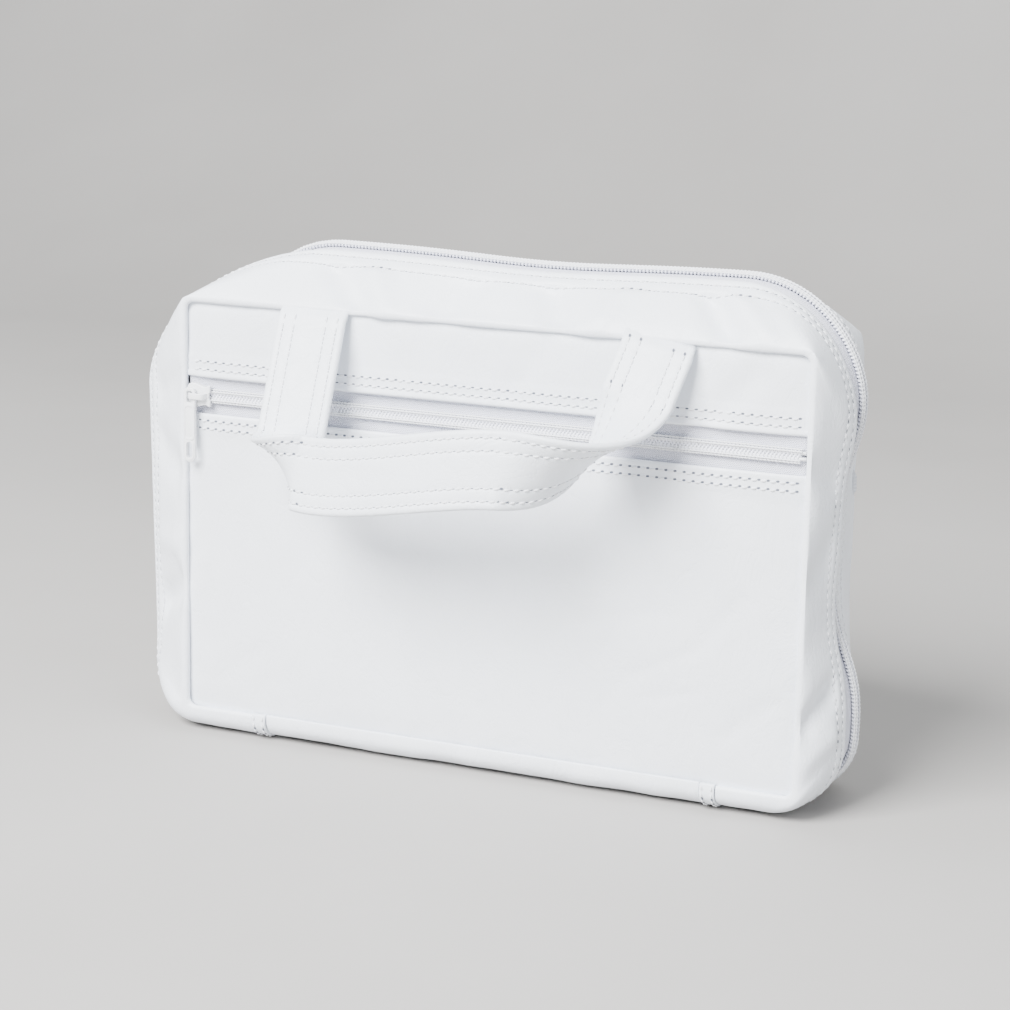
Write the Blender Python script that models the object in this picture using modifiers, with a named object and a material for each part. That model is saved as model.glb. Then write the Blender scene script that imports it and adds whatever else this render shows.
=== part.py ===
"""Zip-around carrying case for a prayer book, in white leather cloth.

The case stands on its bottom strip.  X runs along its width, the front
panel faces -Y and +Z is up.  The origin is the middle of the bounding box,
on the ground.  All lengths are in metres.

Two shells meet at a zip that runs round the left side, the top and the
right side.  The front shell carries a zipped outside pocket and a strap
handle; the back shell carries the bottom strip and a second handle.
"""
import math

import bmesh
import bpy
from mathutils import Matrix, Vector

MM = 0.001

# ---- driving dimensions ----
PANEL_WIDTH = 266 * MM
PANEL_HEIGHT = 172 * MM
CASE_DEPTH = 56 * MM            # outer face of one panel to the other
SEAM_HEIGHT = 10.5 * MM         # bottom seam of the panels above the ground
PANEL_CORNER = 10 * MM
PANEL_X = 6.8 * MM              # middle of the panels from the origin

# the zip line stands out beyond the panels' edge by this much
BULGE_LEFT_LOW = 25.5 * MM
BULGE_LEFT_HIGH = 31 * MM
BULGE_RIGHT = 13.5 * MM
BULGE_TOP = 22 * MM
TOP_SAG = 2.2 * MM
SAG_MIDDLE = PANEL_X + 17 * MM
SAG_REACH = 45 * MM
# how the zip line turns a corner: reach before it, reach after it, exponent
TURN_TOP_LEFT = (62 * MM, 88 * MM, 1.75)
TURN_TOP_RIGHT = (50 * MM, 60 * MM, 2.1)
TURN_LOW = (28 * MM, 28 * MM, 2.0)
TAUT_FULLNESS = 1.1             # exponent of the gusset's section, 1 is a straight slope
RIGHT_FULLNESS = 1.4
LOW_FULLNESS = 2.4
BASE_FULLNESS = 2.8
LOW_REACH = 20 * MM             # height above the ground where the section fills out
LIP = 0.6 * MM                  # the gusset's edge stands proud of the panel
SHOULDER = 1.5 * MM             # width of its flat edge along the seam
SECTION_STEPS = 7

# materials' thicknesses
GAP = 0.35 * MM
VINYL = 1.2 * MM
CLOTH = 0.7 * MM
BOARD = 2.0 * MM
TAPE = 0.6 * MM
TAPE_INSET = VINYL + 1.8 * MM    # main zip tape's edge below the gusset's surface
ZIP_CROWN = 0.3 * MM             # its middle stands above the gusset's edges
TAPE_FLAT = 5.0 * MM             # half width of that middle
VALLEY = 5.2 * MM                # but both sides are caved in along the zip
VALLEY_MIDDLE = 108 * MM         # height of the right side's dip and how far it reaches
VALLEY_REACH = 48 * MM
VALLEY_TOP = 165 * MM            # the left side's reaches up to here
TAPE_OVERLAP = 0.6 * MM         # tape hidden behind each gusset edge

# zips
ZIP_WINDOW = 17 * MM            # between the two gusset edges
CHAIN_HALF = 3.0 * MM           # one coil and half of the middle gap
COIL = 2.3 * MM                 # diameter of one coil
SLIT_HEIGHT = 14.8 * MM
SLIT_BELOW_TOP = 38.8 * MM      # middle of the pocket slit below the top seam
POCKET_ROOM = 5.0 * MM
TAB_X = 102 * MM                # where the zip ends meet the bottom strip
TAB_WIDTH = 6 * MM
TAB_GAP = 0.5 * MM
TAB_LIP = 1.8 * MM              # how far the folded joint stands out in front
TAB_THICK = 2.2 * MM

# zip sliders
SLIDER_LENGTH = 11 * MM
SLIDER_WIDTH = 9 * MM
SLIDER_PLATE = 1.4 * MM
SLIDER_WEB = 0.45 * MM
SLIDER_FROM_EDGE = 7.0 * MM
MAIN_SLIDER_Z = 46 * MM
PULLER_LENGTH = 31 * MM
PULLER_WIDTH = 5.2 * MM
PULLER_THICK = 1.5 * MM
EYE_HALF_WIDTH = 1.45 * MM
EYE_MIDDLE = 2.6 * MM           # middle of the eye from the tab's end bar
CROWN_FOOT = 3.4 * MM
EYE_BAR_OFFSET = 1.0 * MM       # hinge bar from the slider's middle

# strap handles
STRAP_WIDTH = 30 * MM
STRAP_THICK = 2.6 * MM
STRAP_SPACING = 146 * MM        # between the middles of the two legs
STRAP_OFF_PANEL = 4.0 * MM
# leg length, roll radius, lean, turn, fold angle and sideways lean
TIGHT_END = (46 * MM, 6.5 * MM, 22.0, 165.0, 41.0, 0.0)
LOOSE_END = (20 * MM, 14.0 * MM, 23.0, 165.0, 37.0, 13.0)

HALF_DEPTH = CASE_DEPTH / 2
PANEL_TOP = SEAM_HEIGHT + PANEL_HEIGHT
FRONT_Y = -HALF_DEPTH
SLIT_Z = PANEL_TOP - SLIT_BELOW_TOP
PANEL_LEFT = PANEL_X - PANEL_WIDTH / 2
PANEL_RIGHT = PANEL_X + PANEL_WIDTH / 2
ZIP_TOP = PANEL_TOP + BULGE_TOP
ARC_STEPS = 6

VINYL_WHITE = (0.84, 0.86, 0.87)
ZIP_WHITE = (0.77, 0.78, 0.88)
METAL_WHITE = (0.83, 0.84, 0.86)
LINING_WHITE = (0.72, 0.74, 0.78)
BOARD_GREY = (0.45, 0.43, 0.40)


# ---- small helpers ----
def clear_scene():
    for old in list(bpy.data.objects):
        bpy.data.objects.remove(old, do_unlink=True)


def collection(name):
    made = bpy.data.collections.new(name)
    bpy.context.scene.collection.children.link(made)
    return made


def material(name, colour, roughness, metallic=0.0):
    made = bpy.data.materials.new(name)
    made.use_nodes = True
    shader = made.node_tree.nodes["Principled BSDF"]
    shader.inputs["Base Color"].default_value = (*colour, 1.0)
    shader.inputs["Roughness"].default_value = roughness
    shader.inputs["Metallic"].default_value = metallic
    return made


def finish(thing, name, colour, roughness, metallic=0.0):
    """Names an object, gives it its own material and files it."""
    thing.name = name
    thing.data.name = name
    thing.data.materials.clear()
    thing.data.materials.append(material(name, colour, roughness, metallic))
    for holder in list(thing.users_collection):
        holder.objects.unlink(thing)
    PARTS.objects.link(thing)
    return thing


def mesh_object(points, faces):
    mesh = bpy.data.meshes.new("mesh")
    mesh.from_pydata([tuple(p) for p in points], [], faces)
    mesh.update()
    thing = bpy.data.objects.new("thing", mesh)
    PARTS.objects.link(thing)
    return thing


def smooth(thing, degrees=35.0):
    thing.data.shade_smooth()
    thing.data.set_sharp_from_angle(angle=math.radians(degrees))


def solidify(thing, thickness):
    """Thickens an open surface away from the side its faces point to."""
    wall = thing.modifiers.new("wall", "SOLIDIFY")
    wall.thickness = thickness
    wall.offset = -1.0
    wall.use_even_offset = True


def grid(rows):
    """An open surface through equal rows of points."""
    across = len(rows[0])
    points = [p for row in rows for p in row]
    faces = []
    for i in range(len(rows) - 1):
        for j in range(across - 1):
            a = i * across + j
            faces.append((a, a + 1, a + across + 1, a + across))
    return mesh_object(points, faces)


def loft(rings):
    """A closed solid through equal closed rings, with flat end caps."""
    around = len(rings[0])
    points = [p for ring in rings for p in ring]
    faces = []
    for i in range(len(rings) - 1):
        for j in range(around):
            a = i * around + j
            b = i * around + (j + 1) % around
            faces.append((a, b, b + around, a + around))
    faces.append(tuple(reversed(range(around))))
    last = (len(rings) - 1) * around
    faces.append(tuple(range(last, last + around)))
    thing = mesh_object(points, faces)
    tidy = bmesh.new()
    tidy.from_mesh(thing.data)
    bmesh.ops.recalc_face_normals(tidy, faces=tidy.faces)
    tidy.to_mesh(thing.data)
    tidy.free()
    return thing


def box(size, centre):
    bpy.ops.mesh.primitive_cube_add(size=1.0, location=centre)
    thing = bpy.context.object
    thing.scale = size
    bpy.ops.object.transform_apply(location=False, rotation=False, scale=True)
    return thing


def corner_arc(before, here, after, turn, steps):
    """Points that round the corner at here; turn is its two reaches and exponent."""
    back = (before - here).normalized() * turn[0]
    ahead = (after - here).normalized() * turn[1]
    middle = here + back + ahead
    points = []
    for k in range(steps + 1):
        angle = math.pi / 2 * k / steps
        along = max(math.cos(angle), 0.0) ** (2 / turn[2])
        across = math.sin(angle) ** (2 / turn[2])
        points.append(middle - ahead * along - back * across)
    return points


def circles(radii):
    """Circular turns of the given radii; a corner of radius 0 stays sharp."""
    return [(radius, radius, 2.0) if radius else None for radius in radii]


def rounded_path(corners, turns, steps, per_side):
    """Points along a path whose corners turn as told; each side has per_side spans."""
    corners = [Vector(c) for c in corners]
    count = len(corners)
    pieces = []
    for i, here in enumerate(corners):
        if turns[i] is None:
            pieces.append([here])
        else:
            after = corners[(i + 1) % count]
            pieces.append(corner_arc(corners[i - 1], here, after, turns[i], steps))
    path = list(pieces[0])
    for piece in pieces[1:]:
        start = path[-1]
        path += [start.lerp(piece[0], k / per_side) for k in range(1, per_side)]
        path += piece
    return path


# ---- the gusset's form ----
def zip_side_x(z):
    """The zip line's left side leans out a little towards the top."""
    lean = (BULGE_LEFT_HIGH - BULGE_LEFT_LOW) * z / ZIP_TOP
    return PANEL_LEFT - BULGE_LEFT_LOW - lean


def eased_turn(turn, bulge):
    """A corner's turn at a share of the way from the panel's seam to the zip line."""
    seam = (PANEL_CORNER, PANEL_CORNER, 2.0)
    return tuple(a + (b - a) * bulge for a, b in zip(seam, turn))


def gusset_path(bulge, inset=0.0):
    """The case's outline from the left tab over the top to the right tab.

    bulge is 0 at the panels' seam and 1 at the zip line, and inset moves the
    line inwards.
    """
    low = SEAM_HEIGHT * (1 - bulge) + inset
    high = PANEL_TOP + BULGE_TOP * bulge - inset
    left_low = PANEL_LEFT + (zip_side_x(0.0) - PANEL_LEFT) * bulge + inset
    left_high = PANEL_LEFT + (zip_side_x(ZIP_TOP) - PANEL_LEFT) * bulge + inset
    right = PANEL_RIGHT + BULGE_RIGHT * bulge - inset
    corners = [(PANEL_X - TAB_X, low), (left_low, low), (left_high, high),
               (right, high), (right, low), (PANEL_X + TAB_X, low)]
    turns = [eased_turn(turn, bulge)
             for turn in (TURN_LOW, TURN_TOP_LEFT, TURN_TOP_RIGHT, TURN_LOW)]
    path = rounded_path(corners, [None] + turns + [None], ARC_STEPS, 5)
    sag = TOP_SAG * bulge
    for point in path:
        if point.y > high - MM:
            point.y -= sag * math.exp(-((point.x - SAG_MIDDLE) / SAG_REACH) ** 2)
    return path


def section_depths(steps, fullness):
    """Shares of the depth from a panel's seam to the zip window's edge."""
    angles = [math.pi / 2 * k / steps for k in range(steps + 1)]
    return [1 - max(math.cos(angle), 0.0) ** (2 / fullness) for angle in angles]


def section_bulge(along, fullness):
    """The rounded section's bulge at a share of the depth."""
    return (1 - (1 - along) ** fullness) ** (1 / fullness)


def local_fullness(point):
    """The section's exponent at a point of the zip line."""
    right = max(0.0, min(1.0, (point.x - PANEL_RIGHT) / BULGE_RIGHT))
    low = math.exp(-(point.y / LOW_REACH) ** 2)
    side = TAUT_FULLNESS + (RIGHT_FULLNESS - TAUT_FULLNESS) * right
    return side + (LOW_FULLNESS - side) * low


def half_gusset(name, side):
    """One half of the gusset: side is -1 for the front, 1 for the back."""
    seam = gusset_path(0.0)
    shoulder = gusset_path(0.0, -SHOULDER)
    edge = gusset_path(1.0)
    outer_y = HALF_DEPTH + LIP
    rows = [[Vector((p.x, side * outer_y, p.y)) for p in seam]]
    for along in section_depths(SECTION_STEPS, LOW_FULLNESS):
        y = side * (outer_y + (ZIP_WINDOW / 2 - outer_y) * along)
        points = [a.lerp(b, section_bulge(along, local_fullness(b)))
                  for a, b in zip(shoulder, edge)]
        rows.append([Vector((p.x, y, p.y)) for p in points])
    if side > 0:
        rows.reverse()
    thing = grid(rows)
    solidify(thing, VINYL)
    smooth(thing)
    return finish(thing, name, VINYL_WHITE, 0.42)


def zip_rise(edge):
    """Height of the zip tape's middle above a point of the gusset's edge."""
    low = math.exp(-(edge.y / LOW_REACH) ** 2)
    if edge.x > PANEL_X:
        dent = math.exp(-((edge.y - VALLEY_MIDDLE) / VALLEY_REACH) ** 4)
    else:
        dent = (1 - low) * math.exp(-(edge.y / VALLEY_TOP) ** 20)
    return ZIP_CROWN - (ZIP_CROWN + TAPE_INSET) * low - (ZIP_CROWN + VALLEY) * dent


def crowned_path(above):
    """The line at a height above the middle of the main zip's tape."""
    edge = gusset_path(1.0)
    inner = gusset_path(1.0, MM)
    return [a + (a - b) * ((zip_rise(a) + above) / MM) for a, b in zip(edge, inner)]


def zip_tape(name, side):
    """A woven tape, flat under its coil, that slopes to lie under one gusset edge."""
    crown = crowned_path(0.0)
    hidden = gusset_path(1.0, TAPE_INSET)
    lines = [(0.45 * MM, crown), (TAPE_FLAT, crown),
             (ZIP_WINDOW / 2 + TAPE_OVERLAP, hidden)]
    if side < 0:
        lines.reverse()
    rows = [[Vector((p.x, side * y, p.y)) for p in path] for y, path in lines]
    thing = grid(rows)
    solidify(thing, TAPE)
    return finish(thing, name, ZIP_WHITE, 0.8)


def wire(name, path, diameter, colour, roughness, metallic=0.0):
    """A round cord through the given points."""
    curve = bpy.data.curves.new(name, "CURVE")
    curve.dimensions = "3D"
    curve.bevel_depth = diameter / 2
    curve.bevel_resolution = 2
    curve.use_fill_caps = True
    spline = curve.splines.new("POLY")
    spline.points.add(len(path) - 1)
    for point, place in zip(spline.points, path):
        point.co = (*place, 1.0)
    thing = bpy.data.objects.new(name, curve)
    PARTS.objects.link(thing)
    return finish(thing, name, colour, roughness, metallic)


def zip_coil(name, side):
    y = side * (CHAIN_HALF - COIL / 2)
    path = [Vector((p.x, y, p.y)) for p in crowned_path(GAP + COIL / 2)]
    return wire(name, path, COIL, ZIP_WHITE, 0.45)


def bottom_profile(lip, steps):
    """The base's section, flat in the middle and rolled up to both seams."""
    outer_y = HALF_DEPTH + lip
    half = [(outer_y + (ZIP_WINDOW / 2 - outer_y) * along,
             SEAM_HEIGHT * (1 - section_bulge(along, BASE_FULLNESS)))
            for along in section_depths(steps, BASE_FULLNESS)]
    return half + [(-y, z) for y, z in reversed(half)]


def base_piece(name, xs, lip, steps, thickness):
    rows = [[Vector((x, y, z)) for x in xs] for y, z in bottom_profile(lip, steps)]
    thing = grid(rows)
    solidify(thing, thickness)
    smooth(thing)
    return finish(thing, name, VINYL_WHITE, 0.42)


def bottom_gusset():
    """The strip the case stands on, between the two zip ends."""
    reach = TAB_X - TAB_WIDTH - 2 * TAB_GAP
    xs = [PANEL_X + reach * k / 2 for k in range(-2, 3)]
    return base_piece("bottom_gusset", xs, LIP, SECTION_STEPS, VINYL)


def zip_end_tab(name, side):
    """The folded joint between a zip end and the bottom strip."""
    middle = PANEL_X + side * (TAB_X - TAB_GAP - TAB_WIDTH / 2)
    xs = [middle + TAB_WIDTH * k / 2 for k in (-1, 0, 1)]
    return base_piece(name, xs, TAB_LIP, 5, TAB_THICK)


# ---- flat pieces ----
def upright_outline(name, corners, radii, outer_y, thickness, colour, roughness):
    """A flat sheet standing in the XZ plane, its outer face at outer_y."""
    inward = -1 if outer_y > 0 else 1
    path = rounded_path(corners, circles(radii), 4, 1)
    curve = bpy.data.curves.new(name, "CURVE")
    curve.dimensions = "2D"
    curve.fill_mode = "BOTH"
    curve.extrude = thickness / 2
    spline = curve.splines.new("POLY")
    spline.use_cyclic_u = True
    spline.points.add(len(path) - 1)
    for point, place in zip(spline.points, path):
        point.co = (place.x, place.y, 0.0, 1.0)
    thing = bpy.data.objects.new(name, curve)
    thing.location = (0.0, outer_y + inward * thickness / 2, 0.0)
    thing.rotation_euler = (math.pi / 2, 0.0, 0.0)
    PARTS.objects.link(thing)
    return finish(thing, name, colour, roughness)


def sheet(name, low, high, inset, rounded, outer_y, thickness, colour, roughness):
    """A panel between two heights; rounded says which ends have round corners."""
    left = PANEL_LEFT + inset
    right = PANEL_RIGHT - inset
    bottom_radius = PANEL_CORNER - inset if "low" in rounded else 0
    top_radius = PANEL_CORNER - inset if "high" in rounded else 0
    corners = [(left, low), (left, high), (right, high), (right, low)]
    radii = [bottom_radius, top_radius, top_radius, bottom_radius]
    return upright_outline(name, corners, radii, outer_y, thickness, colour, roughness)


def front_sheets():
    edge = GAP + 0.1 * MM
    slit_low = SLIT_Z - SLIT_HEIGHT / 2
    slit_high = SLIT_Z + SLIT_HEIGHT / 2
    low = SEAM_HEIGHT + edge
    high = PANEL_TOP - edge
    sheet("front_panel_lower", low, slit_low, edge, "low", FRONT_Y, VINYL, VINYL_WHITE, 0.42)
    sheet("front_panel_upper", slit_high, high, edge, "high", FRONT_Y, VINYL, VINYL_WHITE, 0.42)
    depth = FRONT_Y + VINYL + POCKET_ROOM
    whole = "low high"
    sheet("pocket_back_wall", low, high, edge, whole, depth, CLOTH, LINING_WHITE, 0.85)
    depth += CLOTH + GAP
    inner = 3.0 * MM
    sheet("front_stiffener_board", low + inner, high - inner, inner, whole, depth, BOARD,
          BOARD_GREY, 0.9)
    depth += BOARD + GAP
    sheet("front_lining", low, high, edge, whole, depth, CLOTH, LINING_WHITE, 0.85)


def back_sheets():
    edge = GAP + 0.1 * MM
    inner = 3.0 * MM
    low = SEAM_HEIGHT + edge
    high = PANEL_TOP - edge
    whole = "low high"
    depth = HALF_DEPTH
    sheet("back_panel", low, high, edge, whole, depth, VINYL, VINYL_WHITE, 0.42)
    depth -= VINYL + GAP
    sheet("back_stiffener_board", low + inner, high - inner, inner, whole, depth, BOARD,
          BOARD_GREY, 0.9)
    depth -= BOARD + GAP
    sheet("back_lining", low, high, edge, whole, depth, CLOTH, LINING_WHITE, 0.85)


# ---- pocket zip ----
def pocket_zip():
    reach = PANEL_WIDTH / 2 - 1.0 * MM
    overlap = 3.5 * MM
    near = 0.45 * MM
    far = SLIT_HEIGHT / 2 + overlap
    tape_y = FRONT_Y + VINYL + GAP + TAPE / 2
    coil_y = FRONT_Y + VINYL - COIL / 2
    for name, side in (("upper", 1), ("lower", -1)):
        tape = box((2 * reach, TAPE, far - near),
                   (PANEL_X, tape_y, SLIT_Z + side * (near + far) / 2))
        finish(tape, "pocket_tape_" + name, ZIP_WHITE, 0.8)
        z = SLIT_Z + side * (CHAIN_HALF - COIL / 2)
        ends = [Vector((PANEL_X + end * reach, coil_y, z)) for end in (-1, 1)]
        wire("pocket_coil_" + name, ends, COIL, ZIP_WHITE, 0.45)


# ---- sliders and pullers, modelled with the zip along local X and out at +Z ----
def slider_body(name, clearance):
    """Two plates joined by a thin web that runs between the coils."""
    top_inner = COIL + GAP + clearance
    bottom_outer = -TAPE - clearance
    top_outer = top_inner + SLIDER_PLATE
    bottom = bottom_outer - SLIDER_PLATE
    half = SLIDER_WIDTH / 2
    web = SLIDER_WEB / 2
    outline = [(-half, bottom), (half, bottom), (half, bottom_outer), (web, bottom_outer),
               (web, top_inner), (half, top_inner), (half, top_outer), (-half, top_outer),
               (-half, top_inner), (-web, top_inner), (-web, bottom_outer),
               (-half, bottom_outer)]
    rings = [[Vector((x, y, z)) for y, z in outline]
             for x in (-SLIDER_LENGTH / 2, SLIDER_LENGTH / 2)]
    thing = loft(rings)
    finish(thing, name, METAL_WHITE, 0.32)
    return thing, top_outer


def slider_crown(name, base):
    """The flat arch over the slider that holds the puller."""
    foot = CROWN_FOOT
    height = 2.9 * MM
    width = 1.0 * MM
    path = [(-foot, base + GAP), (-foot, base + height * 0.6), (-foot * 0.72, base + height),
            (foot * 0.72, base + height), (foot, base + height * 0.6), (foot, base + GAP)]
    arch = [Vector((x, 0.0, z)) for x, z in path]
    return wire(name, arch, width, METAL_WHITE, 0.32)


def puller(name):
    """A flat tab with an eye at the top and an oblong hole near its end.

    Local X runs along the tab from the eye, and the origin is the middle
    of the eye's cross bar.
    """
    half = PULLER_WIDTH / 2
    bar = 1.3 * MM
    start = -bar / 2
    outline = rounded_path([(start, -half), (start, half), (start + PULLER_LENGTH, half),
                            (start + PULLER_LENGTH, -half)],
                           circles([half * 0.6, half * 0.6, half * 0.98, half * 0.98]), 6, 1)
    eye = rounded_path([(bar / 2, -EYE_HALF_WIDTH), (bar / 2, EYE_HALF_WIDTH),
                        (5.4 * MM, EYE_HALF_WIDTH), (5.4 * MM, -EYE_HALF_WIDTH)],
                       circles([0.7 * MM] * 4), 3, 1)
    hole = rounded_path([(22 * MM, -1.3 * MM), (22 * MM, 1.3 * MM),
                         (28.4 * MM, 1.3 * MM), (28.4 * MM, -1.3 * MM)],
                        circles([1.2 * MM] * 4), 4, 1)
    curve = bpy.data.curves.new(name, "CURVE")
    curve.dimensions = "2D"
    curve.fill_mode = "BOTH"
    curve.extrude = PULLER_THICK / 2
    for loop in (outline, eye, hole):
        spline = curve.splines.new("POLY")
        spline.use_cyclic_u = True
        spline.points.add(len(loop) - 1)
        for point, place in zip(spline.points, loop):
            point.co = (place.x, place.y, 0.0, 1.0)
    thing = bpy.data.objects.new(name, curve)
    PARTS.objects.link(thing)
    return finish(thing, name, METAL_WHITE, 0.32)


def empty(name, place, axes):
    """An empty whose local X, Y and Z point along the given axes."""
    holder = bpy.data.objects.new(name, None)
    PARTS.objects.link(holder)
    turn = Matrix([axes[0], axes[1], axes[2]]).transposed().to_4x4()
    holder.matrix_world = Matrix.Translation(place) @ turn
    return holder


def attach(thing, holder, local):
    thing.parent = holder
    thing.matrix_parent_inverse = Matrix.Identity(4)
    thing.matrix_basis = local


def pocket_slider():
    base_y = FRONT_Y + VINYL + GAP
    place = Vector((PANEL_LEFT + SLIDER_FROM_EDGE, base_y, SLIT_Z))
    across = Vector((0, 0, 1))
    along = Vector((1, 0, 0))
    out = Vector((0, -1, 0))
    holder = empty("pocket_slider_place", place, (along, across, out))
    body, top = slider_body("pocket_slider", 0.3 * MM)
    attach(body, holder, Matrix.Identity(4))
    crown = slider_crown("pocket_slider_crown", top)
    attach(crown, holder, Matrix.Identity(4))
    # the puller hangs down: the side bar of its eye lies under the crown
    height = top + GAP + PULLER_THICK / 2
    hinge = empty("pocket_puller_hinge", place - along * EYE_BAR_OFFSET + out * height,
                  (along, across, out))
    tab = puller("pocket_puller")
    hang = Matrix.Rotation(-math.pi / 2, 4, "Z")
    side_bar = (PULLER_WIDTH / 2 + EYE_HALF_WIDTH) / 2
    attach(tab, hinge, hang @ Matrix.Translation((-EYE_MIDDLE, -side_bar, 0.0)))


def main_slider():
    low = Vector((zip_side_x(0.0) + VALLEY, 0.0, VALLEY))
    high = Vector((zip_side_x(ZIP_TOP) + VALLEY, 0.0, ZIP_TOP - VALLEY))
    rise = (high - low).normalized()
    place = low + rise * ((MAIN_SLIDER_Z - low.z) / rise.z)
    across = Vector((0, 1, 0))
    out = rise.cross(across)
    holder = empty("main_slider_place", place, (rise, across, out))
    body, top = slider_body("main_slider", 0.6 * MM)
    attach(body, holder, Matrix.Identity(4))
    crown = slider_crown("main_slider_crown", top)
    attach(crown, holder, Matrix.Identity(4))
    hinge = Vector((-EYE_BAR_OFFSET, 0.0, top + GAP + PULLER_THICK / 2))
    tab = puller("main_puller")
    plumb = Matrix.Rotation(rise.angle(Vector((0, 0, 1))), 4, "Y")
    down = Matrix.Rotation(math.pi, 4, "Z")
    attach(tab, holder, Matrix.Translation(hinge) @ plumb @ down)


# ---- strap handles ----
def strap_end(side, settings):
    """Stations of one leg and its roll, as middle, direction and width axis.

    The leg hangs from the seam, leans out and rolls over a slanted fold, so
    its outer edge becomes the upper edge of the grip.
    """
    leg, radius, lean, turn, fold, sideways = settings
    lean, turn, fold, sideways = (math.radians(a) for a in (lean, turn, fold, sideways))
    middle = Vector((-side * STRAP_SPACING / 2, 0.0, 0.0))
    along = Vector((0.0, -math.sin(lean), -math.cos(lean)))
    width = Vector((side, 0.0, 0.0))
    lean_turn = Matrix.Rotation(sideways, 3, along.cross(width))
    along = lean_turn @ along
    width = lean_turn @ width
    stations = [(middle.copy(), along.copy(), width.copy())]
    leg_steps = 3
    for _ in range(leg_steps):
        middle = middle + along * leg / leg_steps
        stations.append((middle.copy(), along.copy(), width.copy()))
    roll_steps = 12
    length = turn * radius / math.sin(fold)
    for _ in range(roll_steps):
        axis = along * math.cos(fold) + width * math.sin(fold)
        half_turn = Matrix.Rotation(-side * turn / roll_steps / 2, 3, axis)
        middle = middle + half_turn @ along * length / roll_steps
        along = half_turn @ half_turn @ along
        width = half_turn @ half_turn @ width
        stations.append((middle.copy(), along.copy(), width.copy()))
    return stations


def strap_stations():
    """The whole strap: tight end, grip and loose end."""
    left = strap_end(1, TIGHT_END)
    right = strap_end(-1, LOOSE_END)
    start, start_along, start_width = left[-1]
    end, end_along, end_width = right[-1]
    pull = (end - start).length * 0.8
    leave = start_along * pull
    arrive = -end_along * pull
    grip = []
    steps = 12
    for k in range(1, steps):
        s = k / steps
        middle = (start * (2 * s**3 - 3 * s**2 + 1) + leave * (s**3 - 2 * s**2 + s)
                  + end * (3 * s**2 - 2 * s**3) + arrive * (s**3 - s**2))
        along = (start * (6 * s**2 - 6 * s) + leave * (3 * s**2 - 4 * s + 1)
                 + end * (6 * s - 6 * s**2) + arrive * (3 * s**2 - 2 * s)).normalized()
        width = start_width.lerp(end_width, s)
        width = (width - along * width.dot(along)).normalized()
        grip.append((middle, along, width))
    back = [(middle, -along, width) for middle, along, width in reversed(right)]
    return left + grip + back


def strap_handle(name, side):
    """A folded strap; side is -1 on the front panel and 1 on the back one."""
    edge = 0.8 * MM
    across = STRAP_WIDTH / 2
    thick = STRAP_THICK / 2
    profile = [(-across, -thick + edge), (-across + edge, -thick), (across - edge, -thick),
               (across, -thick + edge), (across, thick - edge), (across - edge, thick),
               (-across + edge, thick), (-across, thick - edge)]
    rings = []
    for middle, along, width in strap_stations():
        out = along.cross(width)
        rings.append([middle + width * u + out * v for u, v in profile])
    thing = loft(rings)
    smooth(thing, 50.0)
    hinge = Vector((PANEL_X, side * (HALF_DEPTH + STRAP_OFF_PANEL), PANEL_TOP - 3.5 * MM))
    thing.location = hinge
    if side > 0:
        thing.rotation_euler = (0.0, 0.0, math.pi)
    return finish(thing, name, VINYL_WHITE, 0.42)


clear_scene()
PARTS = collection("prayer_book_case")
front_sheets()
back_sheets()
half_gusset("front_gusset", -1)
half_gusset("back_gusset", 1)
bottom_gusset()
zip_end_tab("zip_end_tab_left", -1)
zip_end_tab("zip_end_tab_right", 1)
zip_tape("main_tape_front", -1)
zip_tape("main_tape_back", 1)
zip_coil("main_coil_front", -1)
zip_coil("main_coil_back", 1)
pocket_zip()
pocket_slider()
main_slider()
strap_handle("front_handle", -1)
strap_handle("back_handle", 1)
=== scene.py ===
"""Looks of the zip-around prayer book case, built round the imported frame.

The gusset, panels, linings and straps are soft sheets in white leather
cloth; the zips have real coils, and every seam has its own stitches.
All lengths are in metres.
"""

import math

import bmesh
import bpy
import numpy as np
from mathutils import Matrix, Vector, noise


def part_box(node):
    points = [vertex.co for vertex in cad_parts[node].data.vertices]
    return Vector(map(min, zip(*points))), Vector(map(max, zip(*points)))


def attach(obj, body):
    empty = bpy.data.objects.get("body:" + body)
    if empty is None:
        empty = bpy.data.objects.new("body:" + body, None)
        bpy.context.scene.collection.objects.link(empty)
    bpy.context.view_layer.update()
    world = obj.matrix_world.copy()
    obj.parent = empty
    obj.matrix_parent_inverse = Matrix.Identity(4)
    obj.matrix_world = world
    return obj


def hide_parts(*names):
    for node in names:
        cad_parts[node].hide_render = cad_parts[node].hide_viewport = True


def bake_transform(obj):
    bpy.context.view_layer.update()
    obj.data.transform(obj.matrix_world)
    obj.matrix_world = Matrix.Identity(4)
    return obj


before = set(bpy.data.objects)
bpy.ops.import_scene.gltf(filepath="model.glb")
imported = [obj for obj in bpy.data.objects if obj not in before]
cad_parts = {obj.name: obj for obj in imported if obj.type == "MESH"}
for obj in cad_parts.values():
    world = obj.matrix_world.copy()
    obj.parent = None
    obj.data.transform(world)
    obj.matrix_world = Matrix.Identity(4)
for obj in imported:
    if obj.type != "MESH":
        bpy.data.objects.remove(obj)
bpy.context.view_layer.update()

MM = 0.001

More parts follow.
